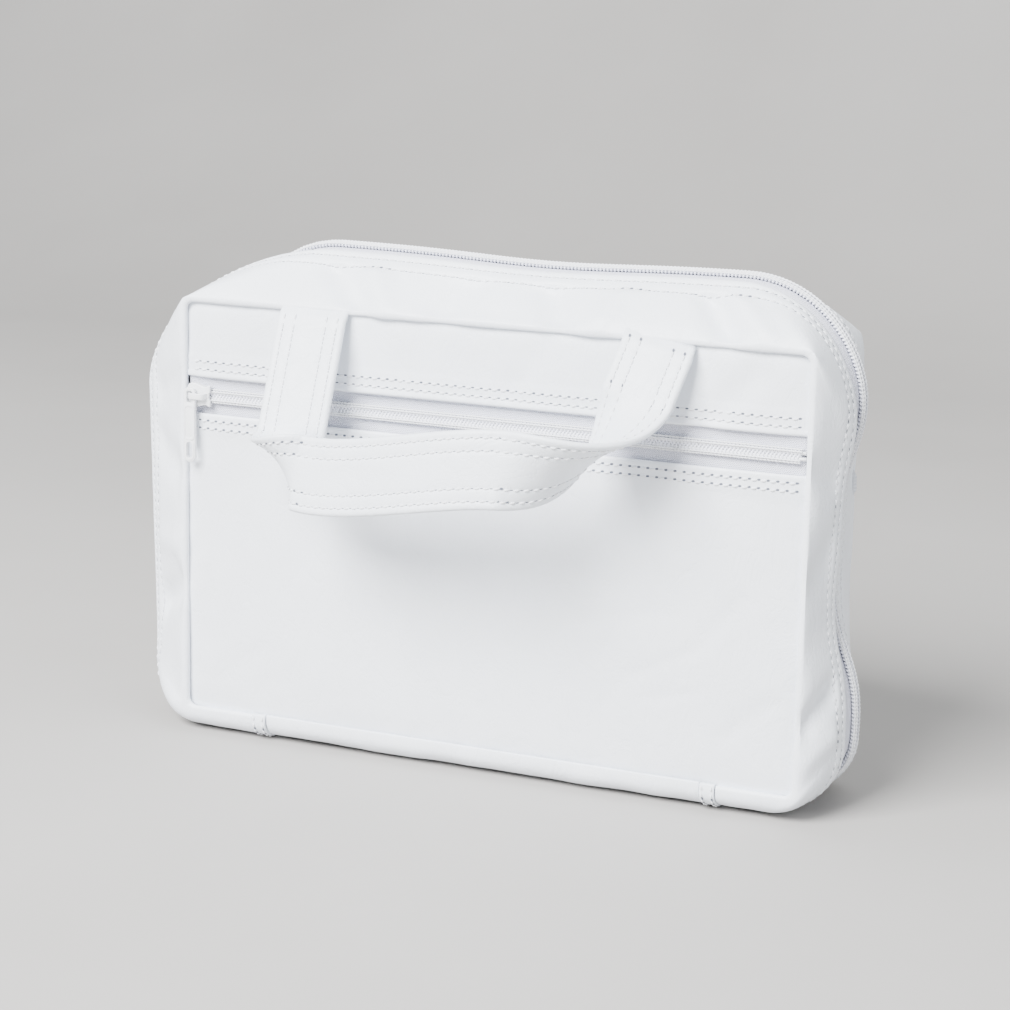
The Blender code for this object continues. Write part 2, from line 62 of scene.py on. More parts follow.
# ---- places and sizes shared with the frame ----
PANEL_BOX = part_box("back_panel")
SEAM_EDGE = 0.45 * MM
PANEL_LEFT = PANEL_BOX[0].x - SEAM_EDGE
PANEL_RIGHT = PANEL_BOX[1].x + SEAM_EDGE
PANEL_X = (PANEL_LEFT + PANEL_RIGHT) / 2
HALF_DEPTH = PANEL_BOX[1].y
SEAM_Z = PANEL_BOX[0].z - SEAM_EDGE
PANEL_TOP = PANEL_BOX[1].z + SEAM_EDGE
SLIT_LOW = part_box("front_panel_lower")[1].z
SLIT_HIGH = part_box("front_panel_upper")[0].z
SLIT_Z = (SLIT_LOW + SLIT_HIGH) / 2
BULGE_LEFT_LOW = 25.5 * MM
BULGE_LEFT_HIGH = 31 * MM
BULGE_RIGHT = 13.5 * MM
BULGE_TOP = 22 * MM
TOP_SAG = 2.2 * MM
SAG_MIDDLE = PANEL_X + 17 * MM
SAG_REACH = 45 * MM
CORNER = 3.5 * MM
# how the zip line turns a corner: reach before it, reach after it, exponent
TURN_TOP_LEFT = (62 * MM, 88 * MM, 1.75)
TURN_TOP_RIGHT = (50 * MM, 60 * MM, 2.1)
TURN_LOW = (28 * MM, 28 * MM, 2.0)
TAUT_FULLNESS = 1.1             # exponent of the gusset's section, 1 is a straight slope
RIGHT_FULLNESS = 1.4
LOW_FULLNESS = 2.4
BASE_FULLNESS = 2.8
LOW_REACH = 20 * MM             # height above the ground where the section fills out
WINDOW = 8.5 * MM               # from the middle of the main zip to each gusset edge
TAPE_INSET = 3.0 * MM           # how far the main zip sinks at its low ends
ZIP_CROWN = 0.3 * MM            # the tape's middle above the gusset's edges
VALLEY = 5.2 * MM               # below them where the sides are caved in along the zip
VALLEY_MIDDLE = 108 * MM        # height of the right side's dip and how far it reaches
VALLEY_REACH = 48 * MM
VALLEY_LEFT = -152.8 * MM       # the left side's dip goes on round the top corner: where
VALLEY_ROUND = 62 * MM          # it is deepest and how far it reaches, measured sideways
# dents in the sides: depth inwards, height of the middle, reach and steepness
RIGHT_DENTS = ((1.6 * MM, 80 * MM, 22 * MM, 2), (5.2 * MM, 103 * MM, 44 * MM, 4))
LEFT_DENTS = ((2.0 * MM, 45 * MM, 16 * MM, 2), (-1.3 * MM, 100 * MM, 45 * MM, 2))
BACK_DENTS = ((5.0 * MM, 112 * MM, 60 * MM, 4),)
SIDE_REACH = 6 * MM             # dents and the sag act this near their side of the outline
CASE_MIDDLE = np.array([PANEL_X, 0.0, 95 * MM])
TAPE_UNDER = 0.35 * MM          # the tape is sewn close under the gusset
TAB_X = 102 * MM
LIP = 1.7 * MM                  # how far the gusset rolls forward over a panel's seam
VINYL = 1.2 * MM
COIL_PITCH = 1.5 * MM
STITCH_PITCH = 3.7 * MM
STITCH_SLANT = 0.16             # sideways run of a stitch over its length
STITCH_SHARE = 0.74             # the part of the pitch that shows as thread
THREAD = 0.42 * MM
# size of the dark disc of painted shadow at each needle prick
NEEDLE_HOLE_SHADOW = 0.62 * MM
TAPE_THICK = 0.55 * MM
COIL_LIFT = 1.12 * MM           # the coils' middle above the tape
FINE_STEP = 0.5 * MM            # spacing of a panel's grid at its edges
STEP_GROWTH = 0.35              # how fast the spacing grows away from them
SLIDER_SCALE = 0.97
CORNER_STEPS = 7
BASE_COLUMNS = 13

# steps along the outline's five sides and four corners
SIDE_STEPS = (14, 62, 100, 62, 14)
ARC_STEPS = (14, 20, 20, 14)

ONE = "prayer_case_looks"
LOOKS = bpy.data.collections.new(ONE)
bpy.context.scene.collection.children.link(LOOKS)


# ---- node materials ----
class Paint:
    """A Principled material under construction."""

    def __init__(self, name, roughness=0.5):
        self.made = bpy.data.materials.new(name)
        self.made.use_nodes = True
        self.tree = self.made.node_tree
        self.shader = self.tree.nodes["Principled BSDF"]
        self.shader.inputs["Roughness"].default_value = roughness
        self.normal = None

    def node(self, kind, inputs=None, **settings):
        made = self.tree.nodes.new(kind)
        for key, value in settings.items():
            setattr(made, key, value)
        for key, value in (inputs or {}).items():
            if isinstance(value, bpy.types.NodeSocket):
                self.tree.links.new(value, made.inputs[key])
            else:
                made.inputs[key].default_value = value
        return made

    def place(self, scale=(1, 1, 1), turn=(0, 0, 0), layer=None):
        """Coordinates in metres: the object's own, or a UV layer's."""
        if layer:
            source = self.node("ShaderNodeUVMap", uv_map=layer).outputs["UV"]
        else:
            source = self.node("ShaderNodeTexCoord").outputs["Object"]
        return self.node("ShaderNodeMapping", {"Vector": source, "Scale": scale,
                                               "Rotation": turn}).outputs["Vector"]

    def noise(self, where, scale, detail=3.0, rough=0.55, distortion=0.0):
        return self.node("ShaderNodeTexNoise", {
            "Vector": where, "Scale": scale, "Detail": detail, "Roughness": rough,
            "Distortion": distortion}).outputs["Fac"]

    def cells(self, where, scale):
        return self.node("ShaderNodeTexVoronoi", {
            "Vector": where, "Scale": scale}).outputs["Distance"]

    def wave(self, where, scale, distortion=0.0, direction="X"):
        return self.node("ShaderNodeTexWave", {
            "Vector": where, "Scale": scale, "Distortion": distortion},
            bands_direction=direction).outputs["Fac"]

    def math(self, operation, a, b=0.0):
        made = self.node("ShaderNodeMath", operation=operation)
        for socket, value in zip(made.inputs, (a, b)):
            if isinstance(value, bpy.types.NodeSocket):
                self.tree.links.new(value, socket)
            else:
                socket.default_value = value
        return made.outputs[0]

    def ramp(self, fac, low, high, start=0.0, end=1.0):
        """Maps fac from start..end to two colours or two numbers."""
        made = self.node("ShaderNodeValToRGB", {"Fac": fac})
        stops = made.color_ramp.elements
        stops[0].position, stops[1].position = start, end
        for stop, value in zip(stops, (low, high)):
            colour = value if isinstance(value, tuple) else (value,) * 3
            stop.color = (*colour, 1.0)
        return made.outputs["Color"]

    def colour(self, value):
        self.tree.links.new(value, self.shader.inputs["Base Color"])

    def roughness(self, fac, low, high):
        self.tree.links.new(self.ramp(fac, low, high), self.shader.inputs["Roughness"])

    def bump(self, height, strength, distance):
        inputs = {"Height": height, "Strength": strength, "Distance": distance}
        if self.normal is not None:
            inputs["Normal"] = self.normal
        self.normal = self.node("ShaderNodeBump", inputs).outputs["Normal"]
        self.tree.links.new(self.normal, self.shader.inputs["Normal"])


def vinyl_paint(name, layer=None, tint=(0.862, 0.893, 0.945)):
    """White leather cloth: fine grain, faint creases and a satin skin."""
    made = Paint(name)
    where = made.place(layer=layer)
    shade = tuple(c * 0.95 for c in tint)
    cloud = made.noise(where, 24.0, 4.0)
    made.colour(made.ramp(cloud, shade, tint, 0.3, 0.62))
    made.roughness(made.noise(where, 160.0, 3.0), 0.36, 0.52)
    grain = made.cells(where, 1050.0)
    pores = made.noise(where, 2300.0, 2.0)
    turned = made.place((1.0, 1.0, 0.45), (0.3, 0.5, 0.4), layer)
    creases = made.noise(turned, 95.0, 5.0, 0.62, 0.8)
    lines = made.math("ABSOLUTE", made.math("SUBTRACT", creases, 0.5))
    made.bump(made.noise(where, 17.0, 3.0), 0.32, 0.004)
    made.bump(made.ramp(lines, 0.0, 1.0, 0.0, 0.05), 0.22, 0.0004)
    made.bump(made.math("ADD", grain, pores), 0.20, 0.00018)
    return made.made


def tape_paint(name):
    """Woven zip tape: a herringbone that turns every couple of millimetres."""
    made = Paint(name, 0.78)
    split = made.node("ShaderNodeSeparateXYZ", {"Vector": made.place(layer="cloth")})
    along, across = split.outputs["X"], split.outputs["Y"]
    zigzag = made.math("PINGPONG", across, 0.0013)
    phase = made.math("MULTIPLY", made.math("ADD", along, zigzag), 2 * math.pi / 0.00085)
    ribs = made.math("MULTIPLY_ADD", made.math("SINE", phase), 0.5)
    picks = made.math("SINE", made.math("MULTIPLY", across, 2 * math.pi / 0.00065))
    height = made.math("ADD", ribs, made.math("MULTIPLY", picks, 0.25))
    # the tape's own lavender white, painted darker in the weave's hollows as their shade
    made.colour(made.ramp(made.math("ADD", height, 0.5), (0.58, 0.59, 0.74), (0.86, 0.87, 0.96)))
    made.bump(height, 0.8, 0.0003)
    fuzz = made.noise(made.place(), 2600.0, 2.0)
    made.bump(fuzz, 0.2, 0.0001)
    made.shader.inputs["Sheen Weight"].default_value = 0.15
    return made.made


def thread_paint(name):
    """Polyester sewing thread with its twist."""
    tint = (0.90, 0.91, 0.94)
    made = Paint(name, 0.6)
    where = made.place()
    twist = made.wave(made.place(turn=(0.5, 0.6, 0.7)), 1500.0, 1.0)
    # the thread's own white, painted darker in the twist's grooves as their shade
    made.colour(made.ramp(twist, tuple(c * 0.86 for c in tint), tint))
    made.bump(twist, 0.35, 0.0001)
    made.bump(made.noise(where, 3000.0, 2.0), 0.15, 0.00005)
    return made.made


def nylon_paint(name):
    """The clear-skinned nylon wire of the zip coils."""
    made = Paint(name, 0.34)
    cloud = made.noise(made.place(), 500.0, 3.0)
    made.colour(made.ramp(cloud, (0.80, 0.81, 0.90), (0.90, 0.91, 0.97), 0.3, 0.7))
    made.roughness(cloud, 0.28, 0.42)
    made.bump(made.noise(made.place(), 2400.0, 2.0), 0.08, 0.00008)
    return made.made


def enamel_paint(name):
    """White enamel over die-cast zinc, a little uneven and worn in small random spots."""
    made = Paint(name, 0.25)
    where = made.place()
    flow = made.noise(where, 420.0, 3.0)
    wear = made.noise(where, 1500.0, 5.0, 0.7)
    made.colour(made.ramp(wear, (0.70, 0.71, 0.73), (0.86, 0.87, 0.89), 0.30, 0.42))
    made.roughness(flow, 0.2, 0.38)
    made.bump(flow, 0.10, 0.0003)
    made.shader.inputs["Coat Weight"].default_value = 0.35
    made.shader.inputs["Coat Roughness"].default_value = 0.12
    return made.made


def lining_paint(name):
    """Plain-woven lining cloth."""
    made = Paint(name, 0.85)
    where = made.place(layer="cloth")
    warp = made.wave(where, 260.0, 0.6, "X")
    weft = made.wave(where, 260.0, 0.6, "Y")
    weave = made.math("MULTIPLY", warp, weft)
    # the lining's own pale grey, painted darker in the weave's hollows as their shade
    made.colour(made.ramp(weave, (0.60, 0.62, 0.67), (0.76, 0.78, 0.82)))
    made.bump(weave, 0.4, 0.0002)
    made.bump(made.noise(where, 120.0, 4.0), 0.2, 0.0006)
    made.shader.inputs["Sheen Weight"].default_value = 0.2
    return made.made


def board_paint(name):
    """Grey board with pressed fibres."""
    made = Paint(name, 0.9)
    where = made.place((1.0, 1.0, 0.3))
    fibres = made.noise(where, 700.0, 6.0, 0.7)
    made.colour(made.ramp(fibres, (0.33, 0.31, 0.28), (0.52, 0.50, 0.46), 0.3, 0.7))
    made.bump(fibres, 0.35, 0.0003)
    return made.made


def hole_shadow_paint(name):
    """Painted shadow for the pricks where the needle went through: dark discs."""
    made = Paint(name, 0.9)
    cloud = made.noise(made.place(), 900.0, 2.0)
    made.colour(made.ramp(cloud, (0.07, 0.08, 0.11), (0.16, 0.17, 0.21)))
    return made.made


def floor_paint(name):
    made = Paint(name, 0.75)
    cloud = made.noise(made.place(), 3.0, 5.0)
    made.colour(made.ramp(cloud, (0.36, 0.345, 0.33), (0.40, 0.385, 0.37), 0.3, 0.7))
    made.bump(made.noise(made.place(), 300.0, 3.0), 0.05, 0.0005)
    return made.made


SKIN = vinyl_paint("vinyl_skin")
# the straps' copy of the vinyl, its tint painted a little darker as shade
SKIN_STRAP_PAINTED_SHADE = vinyl_paint("vinyl_strap_painted_shade", "cloth", (0.835, 0.868, 0.918))
TAPE_CLOTH = tape_paint("zip_tape_weave")
SEWING = thread_paint("sewing_thread")
NYLON = nylon_paint("coil_nylon")
ENAMEL = enamel_paint("white_enamel")
LINING = lining_paint("lining_weave")
BOARD = board_paint("grey_board_pulp")
# dark discs of painted shadow at the needle's pricks
PRICK_SHADOW = hole_shadow_paint("needle_prick_painted_shadow")


# ---- small mesh helpers ----
def unit(v):
    v = np.asarray(v, float)
    return v / np.maximum(np.linalg.norm(v, axis=-1, keepdims=True), 1e-12)


def rough(points, size, seed=0.0):
    """Smooth noise in -1..1 at each point; size is the width of its lumps."""
    flat = np.asarray(points).reshape(-1, 3) / size + seed * 7.31
    values = np.array([noise.noise(Vector(p)) for p in flat])
    return values.reshape(np.shape(points)[:-1])


def distances(points):
    """How far along a line each of its points lies."""
    gaps = np.linalg.norm(np.diff(points, axis=0), axis=-1)
    return np.concatenate([[0.0], np.cumsum(gaps)])


def sample(places, at, lines):
    """Each line's values at some distances along it; at is its points' own."""
    return [np.stack([np.interp(places, at, line[:, k]) for k in range(3)], -1)
            for line in lines]


def near_segment(points, start, end):
    """Each point's distance from a line segment."""
    start, end = np.asarray(start, float), np.asarray(end, float)
    way = end - start
    share = np.clip(((points - start) @ way) / (way @ way), 0.0, 1.0)
    return np.linalg.norm(points - (start + share[..., None] * way), axis=-1)


def mesh_piece(name, points, faces, paints, uv=None, body=None):
    """A named piece in mesh code; uv is one pair per point."""
    mesh = bpy.data.meshes.new(name)
    mesh.from_pydata(np.asarray(points).tolist(), [], np.asarray(faces).tolist()
                     if isinstance(faces, np.ndarray) else faces)
    mesh.update()
    if uv is not None:
        layer = mesh.uv_layers.new(name="cloth")
        corners = np.empty(len(mesh.loops), dtype=np.int32)
        mesh.loops.foreach_get("vertex_index", corners)
        layer.data.foreach_set("uv", np.asarray(uv, np.float32)[corners].ravel())
    for paint in paints:
        mesh.materials.append(paint)
    mesh.shade_smooth()
    thing = bpy.data.objects.new(name, mesh)
    LOOKS.objects.link(thing)
    if body:
        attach(thing, body)
    return thing


def grid_faces(rows, columns, closed=False):
    i, j = np.meshgrid(np.arange(rows - 1), np.arange(columns - (0 if closed else 1)),
                       indexing="ij")
    a = i * columns + j
    b = i * columns + (j + 1) % columns
    return np.stack([a, b, b + columns, a + columns], -1).reshape(-1, 4)


def capped_faces(rings, sides):
    """Faces of a closed bar made of rings of points."""
    faces = grid_faces(rings, sides, True).tolist()
    faces.append(list(range(sides))[::-1])
    faces.append(list(range((rings - 1) * sides, rings * sides)))
    return faces


def face_outwards(mesh, weld=0.0):
    """Turns a mesh's faces outwards and joins points that nearly touch."""
    work = bmesh.new()
    work.from_mesh(mesh)
    if weld:
        bmesh.ops.remove_doubles(work, verts=work.verts, dist=weld)
    bmesh.ops.recalc_face_normals(work, faces=work.faces)
    work.to_mesh(mesh)
    work.free()


def round_edges(thing, name, width, segments, angle):
    edge = thing.modifiers.new(name, "BEVEL")
    edge.width = width
    edge.segments = segments
    edge.limit_method = "ANGLE"
    edge.angle_limit = math.radians(angle)


def grid_normals(grid):
    along = np.gradient(grid, axis=0)
    across = np.gradient(grid, axis=1)
    return unit(np.cross(along, across))


def grid_lengths(grid):
    """Distances along and across a grid, for its weave."""
    steps = np.linalg.norm(np.diff(grid, axis=0), axis=-1).mean(axis=1)
    along = np.concatenate([[0.0], np.cumsum(steps)])
    steps = np.linalg.norm(np.diff(grid, axis=1), axis=-1).mean(axis=0)
    across = np.concatenate([[0.0], np.cumsum(steps)])
    return np.stack(np.meshgrid(along, across, indexing="ij"), -1)


def soft_sheet(name, grid, outward, thickness, paints, body, rim):
    """A cloth sheet through a grid of points, with thickness and rounded rims.

    outward points out of the case anywhere near the sheet's middle row.
    """
    rows, columns = grid.shape[:2]
    normals = grid_normals(grid)
    middle = normals[rows // 2, columns // 2]
    faces = grid_faces(rows, columns)
    if middle @ np.asarray(outward, float) > 0:
        faces = faces[:, ::-1]
    uv = grid_lengths(grid).reshape(-1, 2)
    thing = mesh_piece(name, grid.reshape(-1, 3), faces, paints, uv, None)
    wall = thing.modifiers.new("wall", "SOLIDIFY")
    wall.thickness = thickness
    wall.offset = -1.0
    wall.use_even_offset = False
    if len(paints) > 1:
        wall.material_offset = 1
        wall.material_offset_rim = 0
    if rim:
        round_edges(thing, "rim", rim, 2, 55)
    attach(thing, body)
    return thing


def tube(name, centre, radius, sides, paints, body, reference):
    """A round wire through dense points; radius may change along it."""
    centre = np.asarray(centre, float)
    count = len(centre)
    along = unit(np.gradient(centre, axis=0))
    one = unit(reference - along * np.sum(reference * along, -1, keepdims=True))
    two = np.cross(along, one)
    turn = np.linspace(0, 2 * math.pi, sides, endpoint=False)
    radius = np.broadcast_to(np.asarray(radius, float), (count,))[:, None, None]
    points = centre[:, None] + radius * (np.cos(turn)[None, :, None] * one[:, None]
                                         + np.sin(turn)[None, :, None] * two[:, None])
    return mesh_piece(name, points.reshape(-1, 3), capped_faces(count, sides), paints, None,
                      body)


def plate(name, loops, thickness, round_edge, paints):
    """A flat plate in local XY with holes and rounded edges, as a mesh."""
    curve = bpy.data.curves.new(name, "CURVE")
    curve.dimensions = "2D"
    curve.fill_mode = "BOTH"
    curve.extrude = thickness / 2 - round_edge
    curve.bevel_depth = round_edge
    curve.bevel_resolution = 2
    curve.offset = -round_edge
    for loop in loops:
        spline = curve.splines.new("POLY")
        spline.use_cyclic_u = True
        spline.points.add(len(loop) - 1)
        for point, place in zip(spline.points, loop):
            point.co = (place[0], place[1], 0.0, 1.0)
    holder = bpy.data.objects.new(name, curve)
    LOOKS.objects.link(holder)
    bpy.context.view_layer.update()
    mesh = bpy.data.meshes.new_from_object(holder.evaluated_get(
        bpy.context.evaluated_depsgraph_get()))
    bpy.data.objects.remove(holder, do_unlink=True)
    face_outwards(mesh, 0.001 * MM)
    mesh.name = name
    mesh.materials.clear()
    for paint in paints:
        mesh.materials.append(paint)
    mesh.shade_smooth()
    mesh.set_sharp_from_angle(angle=math.radians(40))
    thing = bpy.data.objects.new(name, mesh)
    LOOKS.objects.link(thing)
    return thing


def round_loop(x0, x1, y0, y1, radii):
    """A rectangle with its own radius at each corner, counterclockwise."""
    corners = [(x1, y1, 0), (x0, y1, 1), (x0, y0, 2), (x1, y0, 3)]
    loop = []
    for (x, y, quarter), r in zip(corners, radii):
        cx = x - r if quarter in (0, 3) else x + r
        cy = y - r if quarter in (0, 1) else y + r
        for k in range(CORNER_STEPS + 1):
            angle = math.pi / 2 * (quarter + k / CORNER_STEPS)
            loop.append((cx + r * math.cos(angle), cy + r * math.sin(angle)))
    return loop


# ---- stitching ----
def resample(points, *others, step):
    """Points an even step apart along a line, and the other arrays with them."""
    at = distances(points)
    count = max(1, int(round(at[-1] / step)))
    places = (np.arange(count) + 0.5) * at[-1] / count
    return sample(places, at, (points,) + others) + [at[-1] / count]


def stitches(name, rows, body, pitch=STITCH_PITCH):
    """Lockstitches along lines; each row is a line of points and its normals.

    Each stitch is a short length of thread whose ends dive into the cloth.
    """
    rings, sides = 7, 6
    turn = np.linspace(0, 2 * math.pi, sides, endpoint=False)
    share_along = np.linspace(-1.0, 1.0, rings)
    points, faces, shadow_points, shadow_faces = [], [], [], []
    for line, normals in rows:
        middles, ups, real = resample(line, normals, step=pitch)
        ways = unit(np.gradient(middles, axis=0)) if len(middles) > 1 else unit(
            (line[-1] - line[0])[None])
        ups = unit(ups - ways * np.sum(ups * ways, -1, keepdims=True))
        sideways = np.cross(ups, ways)
        for middle, way, up, side in zip(middles, ways, ups, sideways):
            way = unit(way + side * STITCH_SLANT)
            side = np.cross(up, way)
            half = real * STITCH_SHARE / 2
            base = len(points) * rings * sides
            block = []
            for t in share_along:
                lift = THREAD * (0.75 - 1.9 * abs(t) ** 3.0)
                size = THREAD * (1.0 - 0.45 * t * t)
                centre = middle + way * (t * half) + up * lift
                block.append(centre + size * (np.cos(turn)[:, None] * side
                                              + 0.85 * np.sin(turn)[:, None] * up))
            points.append(np.concatenate(block))
            faces.append(grid_faces(rings, sides, True) + base)
            # at the end of each stitch a dark disc, painted shadow of the needle's prick
            place = middle + way * (real / 2) + up * 0.03 * MM
            first = len(shadow_points) * 7
            ring = np.arange(6) * math.pi / 3
            hole = [place + up * 0.05 * MM] + [
                place + NEEDLE_HOLE_SHADOW * (1.25 * math.cos(a) * way + 0.8 * math.sin(a) * side)
                for a in ring]
            shadow_points.append(np.array(hole))
            shadow_faces += [(first, first + 1 + k, first + 1 + (k + 1) % 6) for k in range(6)]
    thing = mesh_piece(name, np.concatenate(points), np.concatenate(faces), [SEWING])
    # the thread, and the dark discs of painted shadow as a piece of their own
    shadow_marks = mesh_piece(name + "_prick_shadows", np.concatenate(shadow_points), shadow_faces, [PRICK_SHADOW])
    for piece in (thing, shadow_marks):
        if body:
            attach(piece, body)
    return thing, shadow_marks


# ---- the case's outline and gusset ----
def arc_points(before, here, after, turn, steps):
    """Points that round the corner at here; turn is its two reaches and exponent."""
    back, ahead = unit(before - here) * turn[0], unit(after - here) * turn[1]
    angle = np.linspace(0.0, math.pi / 2, steps + 1)[:, None]
    along = np.maximum(np.cos(angle), 0.0) ** (2 / turn[2])
    across = np.sin(angle) ** (2 / turn[2])
    return here + back * (1 - across) + ahead * (1 - along)


def dents(z, places):
    """How far a side is dented in at each height."""
    return sum(deep * np.exp(-((z - middle) / reach) ** steepness)
               for deep, middle, reach, steepness in places)


def outline(bulge, inset=0.0):
    """The case's outline as (x, z) from the left zip end over the top.

    bulge is 0 at the panels' seam and 1 at the zip line, and inset moves the
    line inwards.
    """
    low = SEAM_Z * (1 - bulge) + inset
    high = PANEL_TOP + BULGE_TOP * bulge - inset
    left_low = PANEL_LEFT - BULGE_LEFT_LOW * bulge + inset
    left_high = PANEL_LEFT - BULGE_LEFT_HIGH * bulge + inset
    right = PANEL_RIGHT + BULGE_RIGHT * bulge - inset
    corners = np.array([(PANEL_X - TAB_X, low), (left_low, low), (left_high, high),
                        (right, high), (right, low), (PANEL_X + TAB_X, low)])
    seam = np.array((CORNER, CORNER, 2.0))
    turns = [seam + (np.array(turn) - seam) * bulge
             for turn in (TURN_LOW, TURN_TOP_LEFT, TURN_TOP_RIGHT, TURN_LOW)]
    arcs = [arc_points(corners[k], corners[k + 1], corners[k + 2], turns[k], ARC_STEPS[k])
            for k in range(4)]
    stops = [corners[:1]] + arcs + [corners[-1:]]
    path = [corners[0]]
    for k, piece in enumerate(stops[1:]):
        steps = SIDE_STEPS[k]
        start = path[-1]
        path += [start + (piece[0] - start) * i / steps for i in range(1, steps)]
        path += list(piece)
    path = np.array(path)
    x, z = path[:, 0].copy(), path[:, 1].copy()
    on_top = np.clip((z - (high - SIDE_REACH)) / SIDE_REACH, 0, 1)
    path[:, 1] -= TOP_SAG * bulge * on_top * np.exp(-((x - SAG_MIDDLE) / SAG_REACH) ** 2)
    on_right = np.clip((x - (right - SIDE_REACH)) / SIDE_REACH, 0, 1)
    on_left = np.clip((left_low + SIDE_REACH - x) / SIDE_REACH, 0, 1)
    path[:, 0] -= bulge * on_right * dents(z, RIGHT_DENTS)
    path[:, 0] += 4 * bulge * (1 - bulge) * on_left * dents(z, LEFT_DENTS)
    return path


def zip_edge(side, inset=0.0):
    """The gusset's edge along the zip; its back half hangs further in on the right."""
    path = outline(1.0, inset)
    right = np.clip((path[:, 0] - PANEL_RIGHT) / (3 * MM), 0, 1) * (side > 0)
    path[:, 0] -= right * dents(path[:, 1], BACK_DENTS)
    return path


def crowned_outline():
    """The line along the middle of the main zip's tape."""
    edge, inner = outline(1.0), outline(1.0, MM)
    x, z = edge[:, 0], edge[:, 1]
    low = np.exp(-(z / LOW_REACH) ** 2)
    left = (1 - low) * np.exp(-((x - VALLEY_LEFT) / VALLEY_ROUND) ** 6)
    dent = np.where(x > PANEL_X, np.exp(-((z - VALLEY_MIDDLE) / VALLEY_REACH) ** 4), left)
    rise = ZIP_CROWN - (ZIP_CROWN + TAPE_INSET) * low - (ZIP_CROWN + VALLEY) * dent
    return edge + (edge - inner) * (rise / MM)[:, None]


# the rolled lip along a panel's seam: (inset, y) from inside to its crest
LIP_ROLL = [(0.1 * MM, HALF_DEPTH - 1.6 * MM), (0.5 * MM, HALF_DEPTH - 0.6 * MM),
            (0.75 * MM, HALF_DEPTH + 0.4 * MM), (0.55 * MM, HALF_DEPTH + LIP - 0.55 * MM),
            (-0.1 * MM, HALF_DEPTH + LIP - 0.12 * MM), (-0.9 * MM, HALF_DEPTH + LIP)]
SHOULDER = 1.6 * MM
# depths from the lip's crest to the zip window, closer along the stitch rows
FREE_DEPTHS = [29.65, 29.3, 28.6, 27.7, 26.6, 25.4, 24.0, 22.4, 20.6, 18.8, 17.4, 16.2, 15.3,
               14.7, 14.1, 13.5, 12.8, 12.0, 11.45, 11.0, 10.55, 9.9, 9.2, 8.5]


def local_fullness(edge):
    """The section's exponent at each point of the zip line."""
    right = np.clip((edge[:, 0] - PANEL_RIGHT) / BULGE_RIGHT, 0, 1)
    low = np.exp(-(edge[:, 1] / LOW_REACH) ** 2)
    side = TAUT_FULLNESS + (RIGHT_FULLNESS - TAUT_FULLNESS) * right
    return side + (LOW_FULLNESS - side) * low


def gusset_rows(side):
    """Lines along one half of the gusset, from the seam to the zip, and depths."""
    rows = [(outline(0, inset), y) for inset, y in LIP_ROLL]
    shoulder = outline(0, -SHOULDER)
    edge = zip_edge(side)
    fullness = local_fullness(edge)
    crest = HALF_DEPTH + LIP
    for y in FREE_DEPTHS:
        along = (crest - y * MM) / (crest - WINDOW)
        bulge = (1 - (1 - along) ** fullness) ** (1 / fullness)
        rows.append((shoulder + (edge - shoulder) * bulge[:, None], y * MM))
    grid = [np.stack([path[:, 0], np.full(len(path), side * y), path[:, 1]], -1)
            for path, y in rows]
    return np.stack(grid, 1), np.array([y for _, y in rows])


STITCH_ROWS_Y = (14.7 * MM, 11.0 * MM)

# soft folds in the gusset, from the panels' middle: start, end, width and depth; a ridge
# has a negative depth
FRONT_FOLDS = [
    ((-0.053, -0.0290, 0.184), (-0.072, -0.0180, 0.203), 5.0, 1.7),
    ((-0.042, -0.0290, 0.186), (-0.052, -0.0190, 0.202), 5.0, -0.9),
    ((-0.018, -0.0280, 0.187), (-0.010, -0.0170, 0.201), 7.0, 1.2),
    ((0.032, -0.0290, 0.185), (0.024, -0.0190, 0.200), 7.0, 1.4),
    ((0.046, -0.0290, 0.186), (0.054, -0.0190, 0.202), 6.0, -0.8),
    ((0.099, -0.0285, 0.186), (0.087, -0.0170, 0.203), 5.0, 2.0),
    ((0.114, -0.0290, 0.189), (0.098, -0.0180, 0.204), 5.0, -1.0),
    ((-0.138, -0.0285, 0.062), (-0.152, -0.0170, 0.050), 7.0, 2.0),
    ((-0.137, -0.0290, 0.080), (-0.152, -0.0180, 0.078), 6.0, -0.7),
    ((-0.137, -0.0290, 0.112), (-0.155, -0.0180, 0.120), 7.0, 1.0),
    ((-0.136, -0.0290, 0.150), (-0.154, -0.0200, 0.140), 6.0, 0.9),
    ((0.135, -0.0290, 0.040), (0.142, -0.0160, 0.052), 5.0, 2.0),
    ((0.136, -0.0290, 0.026), (0.142, -0.0160, 0.034), 5.0, -1.0),
    ((0.140, -0.0250, 0.098), (0.143, -0.0160, 0.106), 7.0, 0.7),
    ((0.136, -0.0290, 0.140), (0.143, -0.0160, 0.132), 6.0, 0.8),
]
BACK_FOLDS = [
    ((-0.096, 0.0290, 0.185), (-0.078, 0.0180, 0.203), 6.0, 1.4),
    ((-0.026, 0.0290, 0.185), (-0.036, 0.0180, 0.201), 7.0, 1.3),
    ((0.042, 0.0290, 0.186), (0.054, 0.0180, 0.202), 6.0, 1.3),
    ((0.094, 0.0290, 0.186), (0.084, 0.0180, 0.203), 5.0, 1.6),
    ((-0.138, 0.0285, 0.050), (-0.152, 0.0170, 0.060), 7.0, 1.7),
    ((-0.137, 0.0290, 0.130), (-0.155, 0.0180, 0.118), 7.0, 1.0),
    ((0.135, 0.0290, 0.045), (0.142, 0.0160, 0.036), 6.0, 1.8),
    ((0.136, 0.0290, 0.125), (0.142, 0.0160, 0.132), 7.0, 1.0),
]


def on_cloth(grid, place):
    """The grid's point nearest to a place given from the panels' middle."""
    points = grid.reshape(-1, 3)
    away = np.linalg.norm(points - (np.array(place) + [PANEL_X, 0.0, 0.0]), axis=-1)
    return points[np.argmin(away)]


